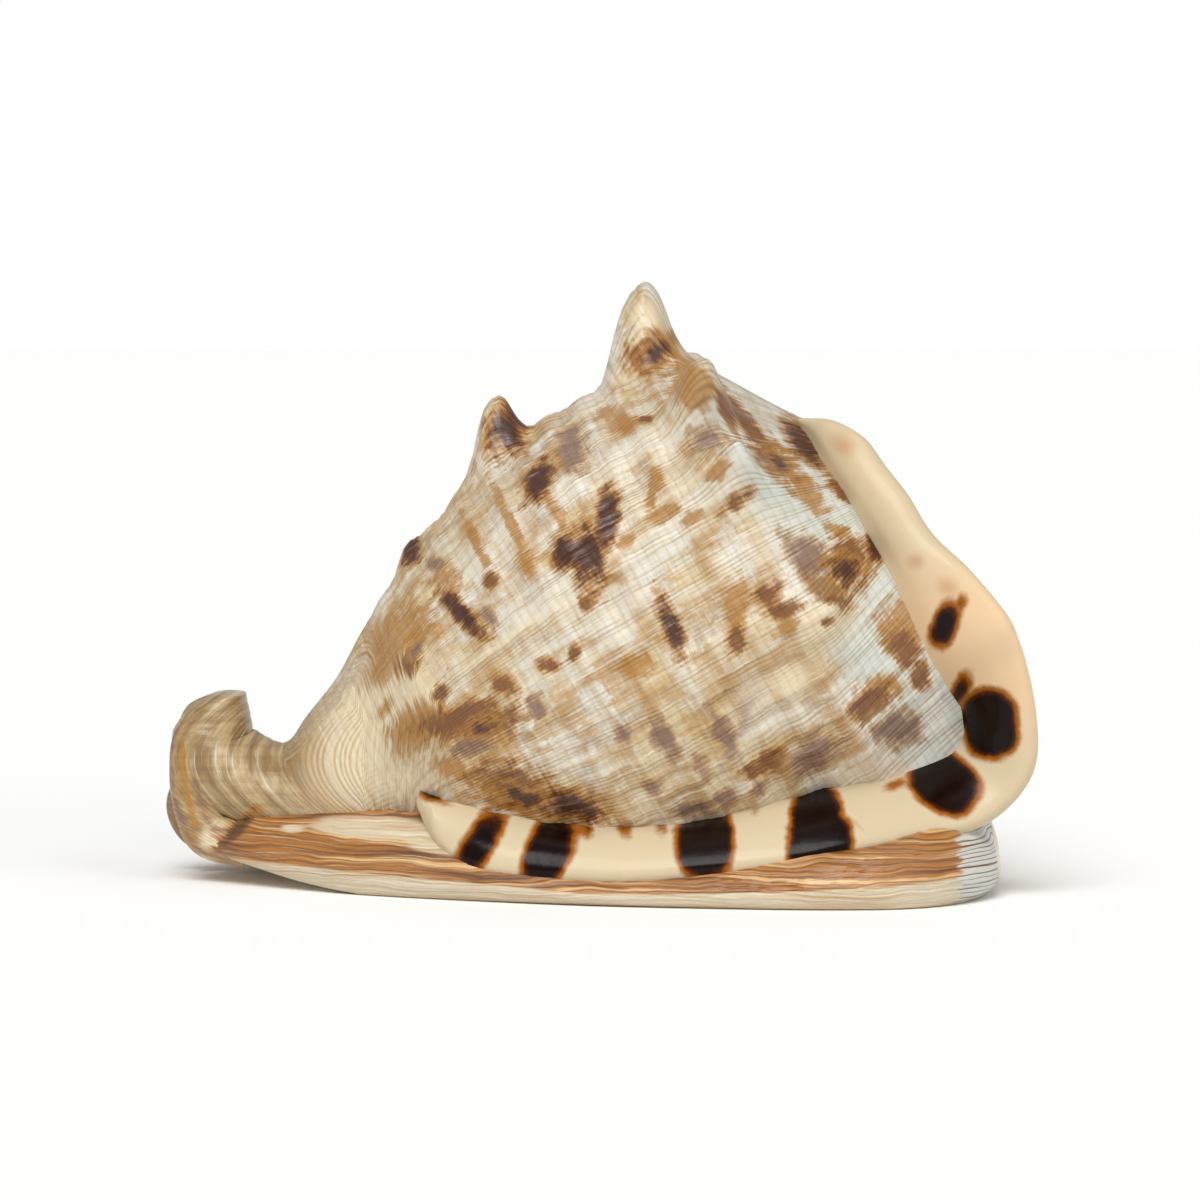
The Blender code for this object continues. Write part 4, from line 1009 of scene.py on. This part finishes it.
class ShellColours(bpy.types.PropertyGroup):
    """Colours of the shell's outside, its enamel and its layered ledge."""

    ground: colour_value("Ground", "Beige white of the whorl", "#D2C7AF")
    warm_ground: colour_value("Warm ground", "Cream of the whorl", "#CFBB93")
    pale: colour_value("Pale streaks", "Whitest streaks of the whorl", "#E0DCD0")
    # Cream also paints highlights on the crests of the ribs and along one spiral thread.
    cream: colour_value("Cream", "Smooth worn places of the whorl", "#E6D6B6")
    tan: colour_value("Tan", "Broad tan clouds of the whorl", "#B28C55")
    lilac: colour_value("Lilac grey", "Grey clouds of the whorl", "#A69488")
    gold: colour_value("Gold", "Golden fringe of the marks", "#A8762B")
    brown: colour_value("Brown", "Brown of the marks", "#784A22")
    purple: colour_value("Purple brown", "Faded marks", "#7C5F54")
    dark: colour_value("Dark brown", "Middle of the darkest marks", "#3E1B0D")
    line: colour_value("Growth lines", "What a growth line takes from the colour under it", "#C4AE8C")
    ramp: colour_value("Ramp", "Cool white above the shoulder", "#CDD3CC")
    enamel: colour_value("Enamel", "Cream of the lips", "#CDBC9C")
    enamel_peach: colour_value("Peach", "Warm part of the lips", "#E2C39B")
    blush: colour_value("Blush", "Brown hollows of the lips", "#B57D50")
    halo: colour_value("Amber", "Amber edge of a bar", "#99590F")
    burnt: colour_value("Burnt brown", "Brown between amber and bar", "#4A1D04")
    bar: colour_value("Bar", "Near black of a bar", "#120402")
    layer: colour_value("Layers", "Brown of the ledge", "#A96D2C")
    layer_dark: colour_value("Dark layers", "Dark lines of the ledge", "#6B3F18")
    layer_pale: colour_value("Pale layers", "Light lines of the ledge", "#DDB681")
    layer_white: colour_value("White layers", "Whitest layers of the ledge", "#E9E0CF")
    # This colour is painted shade, not dirt: it darkens the hollow beside the beak and the crease above the
    # ledge.
    groove_shade: colour_value("Groove", "Dirt in the groove beside the beak", "#4A3218")
    layer_grey: colour_value("Grey layers", "Grey white end of the ledge", "#CFCFC6")
    beak: colour_value("Beak", "Grey brown of the beak", "#8C7048")
    beak_pale: colour_value("Pale beak", "Light parts of the beak", "#B59D72")
    beak_dark: colour_value("Dark beak", "Grey shadows of the beak", "#6E5F4C")


class StageSettings(bpy.types.PropertyGroup):
    """The floor and the light round the shell."""

    floor_colour: colour_value("Floor", "Colour of the floor", "#FBFBFA")
    sky: FloatProperty(name="Sky", description="Strength of the light from all round", min=0.0, default=0.42)
    horizon: FloatProperty(name="Horizon", description="Strength of the sky's lowest edge", min=0.0,
                           default=1.0)
    key: FloatProperty(name="Key light", description="Strength of the wide light above", min=0.0,
                       default=2.2)
    fill: FloatProperty(name="Fill light", description="Strength of the light from the right", min=0.0,
                        default=0.5)
    key_angle: FloatProperty(name="Light width", description="How wide the lights look from the shell",
                             subtype="ANGLE", unit="ROTATION", min=0.0, default=math.radians(38))
    reach: length_value("Floor reach", "How far the floor goes from the middle", 6000)


def settings():
    """The sizes, the colours and the stage of the open scene."""
    scene = bpy.context.scene
    return scene.shell_sizes, scene.shell_colours, scene.shell_stage


def piece_named(name):
    """A piece that was made before."""
    piece = bpy.data.objects.get(name)
    if piece is None:
        raise RuntimeError(f"{name} isn't made yet")
    return piece


class SHELL_OT_whorl(bpy.types.Operator):
    """Add the last whorl with its horns, its ramp and the low spire"""

    bl_idname = "helmet_shell.whorl"
    bl_label = "Whorl and spire"

    def execute(self, context):
        sizes = settings()[0]
        turn = np.concatenate([np.linspace(start, end, count, endpoint=False)
                               for start, end, count in WHORL_COLUMNS] + [[180.0]])
        along = np.arange(WHORL_START, SUTURE_ALONG + 0.01, WHORL_ROW_STEP)[:, None]
        radius = whorl_radius(along, turn)
        lift = relief(along, turn, radius)
        fine = fine_relief(along, turn, sizes)
        wall = settle(shell_point(along + HORN_LEAN * lift, turn, radius + lift + fine), turn)
        radii = np.geomspace(SPIRE_RADIUS, SPIRE_TIP_RADIUS, SPIRE_ROWS)[1:, None]
        spire = shell_point(spire_along(radii, turn), turn, radii)
        lay_down("whorl", np.concatenate([wall, spire]))
        return {"FINISHED"}


class SHELL_OT_old_lip(bpy.types.Operator):
    """Add the barred ring of the stage before, from its point on the left to its end beside the spire"""

    bl_idname = "helmet_shell.old_lip"
    bl_label = "Old lip"

    def execute(self, context):
        roots_x, roots_z, rims_x, rims_z, forward = np.array(OLD_LIP, float).T
        roots_y = whorl_front(roots_x, roots_z)
        rows = np.stack([roots_x, roots_y, roots_z, rims_x, roots_y - forward, rims_z], axis=1)
        values = np.stack(along_rows(rows.tolist(), OLD_LIP_ROWS), axis=1)
        roots, rims = values[:, :3], values[:, 3:]
        middles = (roots + rims) / 2
        ahead = np.gradient(middles, axis=0)
        width = rims - roots
        outward = np.cross(width, ahead)
        outward /= np.linalg.norm(outward, axis=1)[:, None]
        outward *= np.where(outward[:, 1] > 0, -1.0, 1.0)[:, None]
        size = np.minimum(np.linalg.norm(width, axis=1) / 12.0, 1.0)[:, None]
        section = round_rows(OLD_LIP_SECTION, OLD_LIP_COLUMNS + 1)
        across, bulge, thick = [values[None, :] for values in section]
        lift = (bulge * OLD_LIP_BULGE + thick * OLD_LIP_THICKNESS) * size
        points = roots[:, None] + width[:, None] * across[..., None] + outward[:, None] * lift[..., None]
        lay_down("old_lip", points)
        return {"FINISHED"}


class SHELL_OT_face(bpy.types.Operator):
    """Add the thick plate of the mouth: the shield's ledge in front and the rolled outer lip behind"""

    bl_idname = "helmet_shell.face"
    bl_label = "Face of the mouth"

    def execute(self, context):
        sizes = settings()[0]
        x, y, floor, top, roll = round_rows(FACE_EDGE, FACE_COLUMNS + 1)
        roll = np.clip(roll, 0.0, 1.0)
        floor = np.where(floor > 0.2, floor, 0.0)
        plan = np.stack([x, y], axis=1)
        ahead = np.roll(plan[:-1], -1, axis=0) - np.roll(plan[:-1], 1, axis=0)
        ahead = np.concatenate([ahead, ahead[:1]])
        inward = np.stack([-ahead[:, 1], ahead[:, 0]], axis=1)
        inward /= np.linalg.norm(inward, axis=1)[:, None]
        run = np.concatenate([[0.0], np.cumsum(np.hypot(*np.diff(plan, axis=0).T))])
        rings = [np.concatenate([FACE_MIDDLE + (plan - FACE_MIDDLE) * FACE_FLAT_SHARE,
                                 np.zeros((len(plan), 1))], axis=1)]
        ledge = np.stack(along_rows(LEDGE_SECTION, FACE_ROWS), axis=1)
        rolled = np.stack(along_rows(ROLL_SECTION, FACE_ROWS), axis=1)
        for (ledge_in, ledge_up), (roll_in, roll_up) in zip(ledge, rolled):
            inset = ledge_in + (roll_in - ledge_in) * roll
            up = ledge_up + (roll_up - ledge_up) * roll
            low = LEDGE_FALL * smooth_step(45, 85, x) * (1 - roll) * smooth_step(8, 20, ledge_in)
            height = floor + (top - floor) * (up - low)
            inset = inset + self.layer_step(x, run, height - floor, roll, sizes)
            place = plan + inward * inset[:, None]
            rings.append(np.concatenate([place, height[:, None]], axis=1))
        crown = FACE_MIDDLE + (plan - FACE_MIDDLE) * FACE_CROWN_SHARE
        rings.append(np.concatenate([crown, np.full((len(plan), 1), FACE_CROWN_HEIGHT)], axis=1))
        lay_down("face", np.array(rings))
        return {"FINISHED"}

    @staticmethod
    def layer_step(x, run, height, roll, sizes):
        """How far the edges of the layers stand in and out at a height on the ledge."""
        wobble = 0.9 * np.sin(run / 23.0) + 0.5 * np.sin(run / 9.1 + 1.0) + 0.25 * np.sin(run / 3.7 + 2.0)
        count = height / (sizes.layer_spacing / MM) + wobble
        part = count % 1.0
        edge = np.where(part < 0.75, part / 0.75, (1 - part) / 0.25)
        zone = smooth_step(3.5, 6.0, height + 0.8 * wobble) * (1 - smooth_step(0.02, 0.3, roll))
        zone = zone * (1 - smooth_step(*LEDGE_END, x + 1.2 * np.sin(height * 1.7)) * 0.75)
        return (edge - 0.3) * (sizes.layer_relief / MM) * zone


class SHELL_OT_callus(bpy.types.Operator):
    """Add the rounded mass between the face and the spire, built up in layers like the shield"""

    bl_idname = "helmet_shell.callus"
    bl_label = "Callus"

    def execute(self, context):
        lean = np.linspace(0, math.pi, CALLUS_ROWS)[1:-1, None]
        angle = np.linspace(0, math.tau, CALLUS_COLUMNS + 1)
        ways = np.stack(np.broadcast_arrays(np.sin(lean) * np.cos(angle), np.sin(lean) * np.sin(angle),
                                            np.cos(lean)), axis=-1)
        points = np.array(CALLUS_MIDDLE) + ways * np.array(CALLUS_HALF_SIZE)
        points[..., 2] = np.maximum(points[..., 2], CALLUS_FLOOR)
        lay_down("callus", points)
        return {"FINISHED"}


class SHELL_OT_beak(bpy.types.Operator):
    """Add the curled beak at the front end and the two rims of its gutter"""

    bl_idname = "helmet_shell.beak"
    bl_label = "Beak"

    def execute(self, context):
        x, z, half_bend, half_across = along_rows(BEAK, BEAK_ROWS)
        middle = np.stack([x, np.full(BEAK_ROWS, BEAK_MIDDLE_Y), z], axis=1)
        level = smooth_step(*BEAK_LEVEL, z)[:, None]
        bend = bend_way(x, z) * (1 - level) + np.array((-1.0, 0.0, 0.0)) * level
        bend /= np.linalg.norm(bend, axis=1)[:, None]
        row = np.arange(BEAK_ROWS)
        ridge = 1 + 0.004 * np.sin(row * 0.9) + 0.006 * np.sin(row * 0.37)
        lay_down("beak", oval_rings(middle, bend, half_bend * ridge, half_across * ridge, BEAK_COLUMNS))
        for name, path in (("near_rim", NEAR_RIM), ("far_rim", FAR_RIM)):
            self.add_rim(name, path)
        return {"FINISHED"}

    @staticmethod
    def add_rim(name, path):
        """Adds a rounded blade along one side of the gutter."""
        x, y, z, half, reach = along_rows(path, RIM_ROWS)
        inward = bend_way(x, z)
        middle = np.stack([x, y, z], axis=1) + inward * (reach - half)[:, None]
        lay_down(name, oval_rings(middle, inward, reach, half, RIM_COLUMNS))


class SHELL_OT_mouth(bpy.types.Operator):
    """Cut the mouth and the gutter of the beak out of the pieces, then grow the pieces into each other"""

    bl_idname = "helmet_shell.mouth"
    bl_label = "Mouth, gutter and grown creases"

    def execute(self, context):
        whorl, beak, face, callus = [piece_named(name) for name in ("whorl", "beak", "face", "callus")]
        near_rim, far_rim = piece_named("near_rim"), piece_named("far_rim")
        mouth, gutter = self.mouth_cutter(), self.gutter_cutter()
        for piece in (whorl, beak, face, near_rim, far_rim):
            cut(piece, mouth)
            cut(piece, gutter)
        bpy.data.objects.remove(mouth)
        bpy.data.objects.remove(gutter)
        grow_together(whorl, beak, WHORL_BEAK_REACH,
                      lambda point: point.z > 20 or point.y < -4 and point.z > 12)
        grow_together(beak, near_rim, BEAK_RIM_REACH, lambda point: point.y < -6)
        grow_together(whorl, callus, WHORL_CALLUS_REACH, lambda point: point.x > CALLUS_FROM_X)
        grow_together(face, callus, FACE_CALLUS_REACH,
                      lambda point: point.x > CALLUS_FROM_X and point.z > 6)
        # The callus ends just above the flat face, so that the two never lie in one plane.
        for vertex in callus.data.vertices:
            vertex.co.z = max(vertex.co.z, CALLUS_LIFT * MM)
        return {"FINISHED"}

    @staticmethod
    def mouth_cutter():
        """The long slot of the mouth as a solid."""
        x, y, half, depth = along_rows(MOUTH, MOUTH_ROWS)
        wide = half * MOUTH_WIDER_INSIDE
        below, lip = np.full(MOUTH_ROWS, -CUT_BELOW), np.full(MOUTH_ROWS, 6.0)
        section = ((-half, below), (half, below), (half, lip), (wide, 0.45 * depth),
                   (0.75 * wide, 0.85 * depth), (0 * half, depth), (-0.75 * wide, 0.85 * depth),
                   (-wide, 0.45 * depth), (-half, lip), (-half, below))
        points = np.stack([np.stack([x, y + across, up], axis=1) for across, up in section], axis=1)
        return lay_down("mouth_cutter", points)

    @staticmethod
    def gutter_cutter():
        """The round channel along the outside of the beak as a solid."""
        x, y, z, half_across, half_bend = along_rows(GUTTER, GUTTER_ROWS)
        middle = np.stack([x, y, z], axis=1)
        return lay_down("gutter_cutter", oval_rings(middle, bend_way(x, z), half_bend, half_across,
                                                    GUTTER_COLUMNS))


class SHELL_OT_teeth(bpy.types.Operator):
    """Add the teeth of the outer lip and the folds of the columella on both sides of the mouth"""

    bl_idname = "helmet_shell.teeth"
    bl_label = "Teeth and folds"

    def execute(self, context):
        self.add_ridges("lip_teeth", LIP_TEETH, 1)
        self.add_ridges("columella_folds", COLUMELLA_FOLDS, -1)
        return {"FINISHED"}

    @staticmethod
    def add_ridges(name, ridges, side):
        """Adds a row of rounded ridges as one piece. They are largest in the middle of the row."""
        count, first, step, stand, half = ridges
        made = []
        for index in range(count):
            x = first + step * index
            middle = float(spline([(row[0], row[1]) for row in MOUTH], x))
            half_mouth = float(spline([(row[0], row[2]) for row in MOUTH], x))
            wall = middle + side * (half_mouth + 1.0)
            shrink = 1.0 - 0.35 * abs(2 * index / (count - 1) - 1)
            long = (stand * shrink + 4.0) / 2
            centre = np.array((x, wall - side * (stand * shrink - 2.0) / 2, TOOTH_HEIGHT * 0.62))
            centre = (centre - MIDDLE) * MM
            deselect()
            bpy.ops.mesh.primitive_uv_sphere_add(segments=24, ring_count=14, radius=1.0, location=centre)
            tooth = bpy.context.object
            tooth.scale = (half * MM, (long + 1.2) * MM, TOOTH_HEIGHT * 0.52 * MM)
            bpy.ops.object.transform_apply(location=True, rotation=False, scale=True)
            made.append(tooth)
        deselect()
        for tooth in made:
            tooth.select_set(True)
        bpy.context.view_layer.objects.active = made[0]
        bpy.ops.object.join()
        made[0].name = name
        made[0].data.name = name


class SHELL_OT_finish(bpy.types.Operator):
    """Lay the marks on the pieces and give them their finishes"""

    bl_idname = "helmet_shell.finish"
    bl_label = "Marks and finishes"

    def execute(self, context):
        sizes, colours, _ = settings()
        grown = outside_finish(colours, sizes)
        enamel = enamel_finish(colours)
        layered = ledge_finish(colours, sizes)
        self.mark_whorl(piece_named("whorl"))
        self.mark_beak(piece_named("beak"))
        self.mark_old_lip(piece_named("old_lip"))
        self.mark_face(piece_named("face"))
        self.mark_rim(piece_named("near_rim"), NEAR_RIM, NO_MARK)
        self.mark_rim(piece_named("far_rim"), FAR_RIM, 0.8)
        for name in ("callus", "lip_teeth", "columella_folds"):
            self.mark_plain(piece_named(name))
        finishes = {
            "whorl": (grown,), "beak": (grown,), "old_lip": (enamel,), "face": (enamel, layered),
            "near_rim": (grown,), "far_rim": (grown,), "callus": (enamel,), "lip_teeth": (enamel,),
            "columella_folds": (enamel,),
        }
        for name, materials in finishes.items():
            piece = piece_named(name)
            piece.data.materials.clear()
            for material in materials:
                piece.data.materials.append(material)
            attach(piece, "root")
            smooth(piece)
        self.lay_ledge(piece_named("face"))
        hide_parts("helmet_shell")
        return {"FINISHED"}

    @staticmethod
    def far_marks(kind):
        """The marks of one kind on the far side, in millimetres along the axis and round it."""
        marks = []
        for index, (along, turn, half_along, half_round, lean, strength) in enumerate(FAR_MARKS):
            place = GROWTH_RADIUS * math.radians(turn)
            if index % 4 == kind:
                marks.append((along, place, half_along, half_round, lean, strength))
            if kind == 3:
                marks.append((along - 6, place + 7, half_along * 1.5, half_round * 0.8, lean + 20, 0.6))
            if kind == 2 and index % 3 == 0:
                marks.append((along + 4, place - 6, half_along * 1.2, half_round, lean - 30, 0.7))
            if kind == 4:
                marks.append((along + 10, place + 2, half_along * 0.8, half_round, lean, 0.9))
        return marks

    def mark_whorl(self, piece):
        """Marks of the whorl: those that the front shows, and others of their kind on the far side."""
        points = places_of(piece)
        along, turn, radius = shell_place(points)
        across, up = seen_from_front(points)
        shown = (turn > SHOWN_TURNS[0]) & (turn < SHOWN_TURNS[1])
        root = 1 - smooth_step(*ROOT_ACROSS, across + 0.6 * np.maximum(up - 62, 0.0))
        root = root * smooth_step(*ROOT_TURNS, turn)
        grown = growth_place(along, turn)
        grown = grown + (bow_place(across, up) - grown) * root
        # On the spire the growth lines and the bands follow its whorls inwards.
        spire = (along > SUTURE_ALONG - 0.5) & (radius < SPIRE_RADIUS)
        shown = shown & ~spire
        whorl = np.log(SPIRE_RADIUS / np.maximum(radius, 0.3)) / math.log(SPIRE_GROWTH) - turn / 360.0
        grown = np.where(spire, GROWTH_RADIUS * np.radians(turn + 360.0 * np.floor(whorl)), grown)
        band = np.where(spire, SUTURE_ALONG + SPIRE_BAND_RUN * (whorl % 1.0), along)
        keep_vector(piece, "shell_place", (band, grown, radius))
        suture = np.where(spire, np.minimum(whorl % 1.0, 1 - whorl % 1.0) * radius * 0.5, 9.0)
        round_place = GROWTH_RADIUS * np.radians(turn)
        kinds = (("dark_marks_and_crease_shade", DARK_MARKS, 0), ("purple_marks_and_rim_shade", PURPLE_MARKS, 1),
                 ("red_marks", RED_MARKS, 2), ("gold_marks", GOLD_MARKS, 3), ("pale_marks", PALE_MARKS, 4))
        for name, marks, kind in kinds:
            seen = mark_field(across, up, marks)
            far = mark_field(along, round_place, self.far_marks(kind))
            if kind == 2:
                far = np.maximum(far, 0.5 - suture)
            keep(piece, name, np.where(shown, seen, far) + MARK_FULLNESS)
        callus = tree_of(piece_named("callus"))
        glaze = np.zeros(len(points))
        for vertex in np.flatnonzero(points[:, 0] > 55):
            away = callus.find_nearest(piece.data.vertices[vertex].co, GLAZE_REACH * MM)[3]
            if away is not None:
                glaze[vertex] = 1 - away / MM / GLAZE_REACH
        keep(piece, "glaze", glaze)
        # The worn places are cream, and so are the crests of the ribs, where the cream is partly real pale
        # rib and partly painted highlight.
        worn = mark_field(across, up, WORN_AND_HIGHLIT_PLACES)
        keep(piece, "worn_and_highlight", np.where(shown, np.maximum(0.85 * smooth_step(-0.3, 0.7, worn),
                                                        np.minimum(0.55 * ribs(along, turn), 0.7)), 0.0))
        # The ramp is palest on the shield's side, from just below the shoulder on.
        front = smooth_step(SHOULDER_ALONG - 7, SHOULDER_ALONG + 4, along) * smooth_step(-36, -52, turn)
        rest = smooth_step(SHOULDER_ALONG - 2, SHOULDER_ALONG + 6, along) * smooth_step(-52, -36, turn)
        keep(piece, "ramp", front + 0.6 * rest)
        keep(piece, "beak", beak_share(across))

    @staticmethod
    def mark_beak(piece):
        """Growth lines of the beak, bowed like its outer edge, its worn patch, and painted shade in the
        hollow beside it and along the creases.
        """
        points = places_of(piece)
        across, up = seen_from_front(points)
        keep_vector(piece, "shell_place", (up * 0.8, bow_place(across, up), points[:, 2]))
        for name in ("dark_marks_and_crease_shade", "purple_marks_and_rim_shade", "red_marks", "gold_marks", "pale_marks", "glaze"):
            keep(piece, name, np.full(len(points), NO_MARK))
        keep(piece, "ramp", np.zeros(len(points)))
        keep(piece, "beak", beak_share(across))
        worn = mark_field(across, up, BEAK_WORN + WORN_AND_HIGHLIT_PLACES)
        keep(piece, "worn_and_highlight", 0.85 * smooth_step(-0.3, 0.7, worn))
        # Painted shade in the hollow beside the beak and along the creases, laid as dark marks.
        keep(piece, "dark_marks_and_crease_shade", mark_field(across, up, BEAK_GROOVE_SHADE))

    def mark_rim(self, piece, path, brown):
        """The rims of the beak: horny brown along their edges and at their lower ends, and a band of painted
        shade just inside their edges.
        """
        self.mark_beak(piece)
        points = places_of(piece)
        x, _, z = along_rows(path, 200)[:3]
        edge = np.min(np.hypot(points[:, 0, None] - x, points[:, 2, None] - z), axis=1)
        low = 2.2 * smooth_step(24, 12, points[:, 2]) + NO_MARK
        across, up = seen_from_front(points)
        worn = smooth_step(-0.4, 0.4, mark_field(across, up, BEAK_WORN))
        keep(piece, "gold_marks", np.maximum(0.9 - edge / RIM_EDGE, low) * (1 - worn) + NO_MARK * worn)
        keep(piece, "red_marks", np.full(len(points), brown))
        # A band of painted shade some 4 mm inside each rim's edge, laid as a purple mark.
        keep(piece, "purple_marks_and_rim_shade", 0.35 - np.abs(edge - 4.0) / 3.0)

    @staticmethod
    def mark_old_lip(piece):
        """Bars and blushes of the old lip."""
        across, up = seen_from_front(places_of(piece))
        keep(piece, "bar", bar_field(across, up, OLD_LIP_BARS))
        keep(piece, "blush", mark_field(across, up, OLD_LIP_BLUSHES))
        keep(piece, "warm", 0.9 * smooth_step(45, 75, up) * (1 - 0.85 * smooth_step(95, 125, up)))

    @staticmethod
    def mark_face(piece):
        """Layers of the ledge, bars of the outer lip and the peach of the flat face."""
        points = places_of(piece)
        x, y, z = points.T
        top = np.interp(x, *np.array(LEDGE_TOP, float).T)
        across, up = seen_from_front(points)
        white = smooth_step(-0.1, 0.8, mark_field(across, up, LEDGE_WHITE))
        tone = smooth_step(0.30, 0.55, z / top) * (1 - 0.9 * white)
        keep_vector(piece, "layer_place", (x, z, tone))
        # Painted shade in the hollow beside the beak and along the crease above the ledge.
        keep(piece, "groove_shade", mark_field(across, up, BEAK_GROOVE_SHADE))
        keep(piece, "layer_end", smooth_step(*LEDGE_END, x + 1.2 * np.sin(z * 1.7)))
        bar = np.full(len(points), NO_BAR)
        for bar_x, half, low in OUTER_LIP_BARS:
            lean = bar_x + 0.25 * (z - 20)
            wave = 0.5 * np.sin(z / 4.1 + bar_x) + 0.3 * np.sin(z / 1.9 + 2 * bar_x)
            out = np.abs(x - lean + wave) / (half * (1 + 0.25 * smooth_step(30, 8, z)))
            down = np.maximum(low * 33 + 8 - z, 0.0) / 9.0
            bar = np.maximum(bar, (1 - (out ** 3 + down ** 3) ** (1 / 3)) * half)
        edge_x, edge_y = np.array([row[:2] for row in FACE_EDGE[13:]], float).T
        inset = np.interp(-x, -edge_x, edge_y) - y
        bar = np.where(y > 10, np.minimum(bar, (OUTER_BAR_REACH - inset) * 0.6), NO_BAR)
        keep(piece, "bar", bar)
        keep(piece, "blush", np.full(len(points), NO_MARK))
        keep(piece, "warm", 0.35 + 0.5 * np.exp(-(np.hypot(x - 15, (y - 40) * 1.5) / 60) ** 2))

    @staticmethod
    def mark_plain(piece):
        """Enamel without bars."""
        count = len(piece.data.vertices)
        keep(piece, "bar", np.full(count, NO_BAR))
        keep(piece, "blush", np.full(count, NO_MARK))
        keep(piece, "warm", np.full(count, 0.3))

    @staticmethod
    def lay_ledge(piece):
        """Gives the ledge of the shield its layered finish, in front of the flat face."""
        points = places_of(piece)
        for face in piece.data.polygons:
            x, y, z = points[list(face.vertices)].mean(axis=0)
            ledge = y < LEDGE_MAX_Y and z > LEDGE_MIN_Z and x < LEDGE_MAX_X
            face.material_index = 1 if ledge else 0


class SHELL_OT_stage(bpy.types.Operator):
    """Add the floor, the soft light and the camera at the viewing angle"""

    bl_idname = "helmet_shell.stage"
    bl_label = "Floor, light and camera"

    def execute(self, context):
        stage = settings()[2]
        deselect()
        bpy.ops.mesh.primitive_plane_add(size=2 * stage.reach, location=(0, 0, -FLOOR_GAP * MM))
        bpy.ops.object.transform_apply(location=True, rotation=False, scale=False)
        floor = bpy.context.object
        floor.name = "floor"
        floor.data.name = "floor"
        floor.data.materials.append(floor_finish(stage))
        # The sky is even and soft. Only its lowest few degrees are as bright as the floor that they meet.
        world = bpy.data.worlds.new("studio")
        world.use_nodes = True
        tree = world.node_tree
        way = node(tree, "ShaderNodeTexCoord").outputs["Generated"]
        height = node(tree, "ShaderNodeSeparateXYZ", {}, {0: way}).outputs[2]
        strength = ease(tree, height, *SKY_DIMS, stage.horizon, stage.sky)
        tree.links.new(strength, tree.nodes["Background"].inputs["Strength"])
        tree.nodes["Background"].inputs["Color"].default_value = (1.0, 1.0, 1.0, 1.0)
        context.scene.world = world
        context.scene.view_settings.view_transform = "Standard"
        self.add_light("key_light", KEY_PLACE, stage.key_angle, stage.key)
        self.add_light("fill_light", FILL_PLACE, stage.key_angle, stage.fill)
        target = Vector((CAMERA_TARGET - MIDDLE) * MM)
        away = Vector((0.0, -math.cos(CAMERA_RISE), math.sin(CAMERA_RISE))) * (CAMERA_DISTANCE * MM)
        bpy.ops.object.camera_add(location=target + away)
        camera = bpy.context.object
        camera.name = "camera"
        camera.rotation_euler = (-away).to_track_quat("-Z", "Y").to_euler()
        camera.data.sensor_width = SENSOR_WIDTH
        camera.data.lens = SENSOR_WIDTH * CAMERA_DISTANCE / VIEW_WIDTH
        camera.data.clip_end = 50.0
        context.scene.camera = camera
        return {"FINISHED"}

    @staticmethod
    def add_light(name, place, angle, power):
        """Adds a wide soft light that shines from a place towards the shell."""
        bpy.ops.object.light_add(type="SUN", location=place)
        light = bpy.context.object
        light.name = name
        light.data.angle = angle
        light.data.energy = power
        light.rotation_euler = (-Vector(place)).to_track_quat("-Z", "Y").to_euler()


class SHELL_PT_panel(bpy.types.Panel):
    """Lists the steps that build the shell and its settings"""

    bl_label = "Helmet shell"
    bl_idname = "SHELL_PT_panel"
    bl_space_type = "VIEW_3D"
    bl_region_type = "UI"
    bl_category = "Helmet shell"

    def draw(self, context):
        for operator in OPERATORS:
            self.layout.operator(operator.bl_idname)
        for group in settings():
            box = self.layout.box()
            for name in group.__annotations__:
                box.prop(group, name)


OPERATORS = (
    SHELL_OT_whorl, SHELL_OT_old_lip, SHELL_OT_face, SHELL_OT_callus, SHELL_OT_beak, SHELL_OT_mouth,
    SHELL_OT_teeth, SHELL_OT_finish, SHELL_OT_stage,
)
GROUPS = {"shell_sizes": ShellSizes, "shell_colours": ShellColours, "shell_stage": StageSettings}


def register():
    """Makes the classes and their settings known."""
    for group in GROUPS.values():
        bpy.utils.register_class(group)
    for name, group in GROUPS.items():
        setattr(bpy.types.Scene, name, PointerProperty(type=group))
    for operator in OPERATORS:
        bpy.utils.register_class(operator)
    bpy.utils.register_class(SHELL_PT_panel)


def unregister():
    """Takes the classes and their settings away."""
    bpy.utils.unregister_class(SHELL_PT_panel)
    for operator in reversed(OPERATORS):
        bpy.utils.unregister_class(operator)
    for name, group in GROUPS.items():
        delattr(bpy.types.Scene, name)
        bpy.utils.unregister_class(group)


def main():
    """Builds the shell and its stage."""
    register()
    bpy.ops.helmet_shell.whorl()
    bpy.ops.helmet_shell.old_lip()
    bpy.ops.helmet_shell.face()
    bpy.ops.helmet_shell.callus()
    bpy.ops.helmet_shell.beak()
    bpy.ops.helmet_shell.mouth()
    bpy.ops.helmet_shell.teeth()
    bpy.ops.helmet_shell.finish()
    bpy.ops.helmet_shell.stage()


if __name__ == "__main__":
    main()
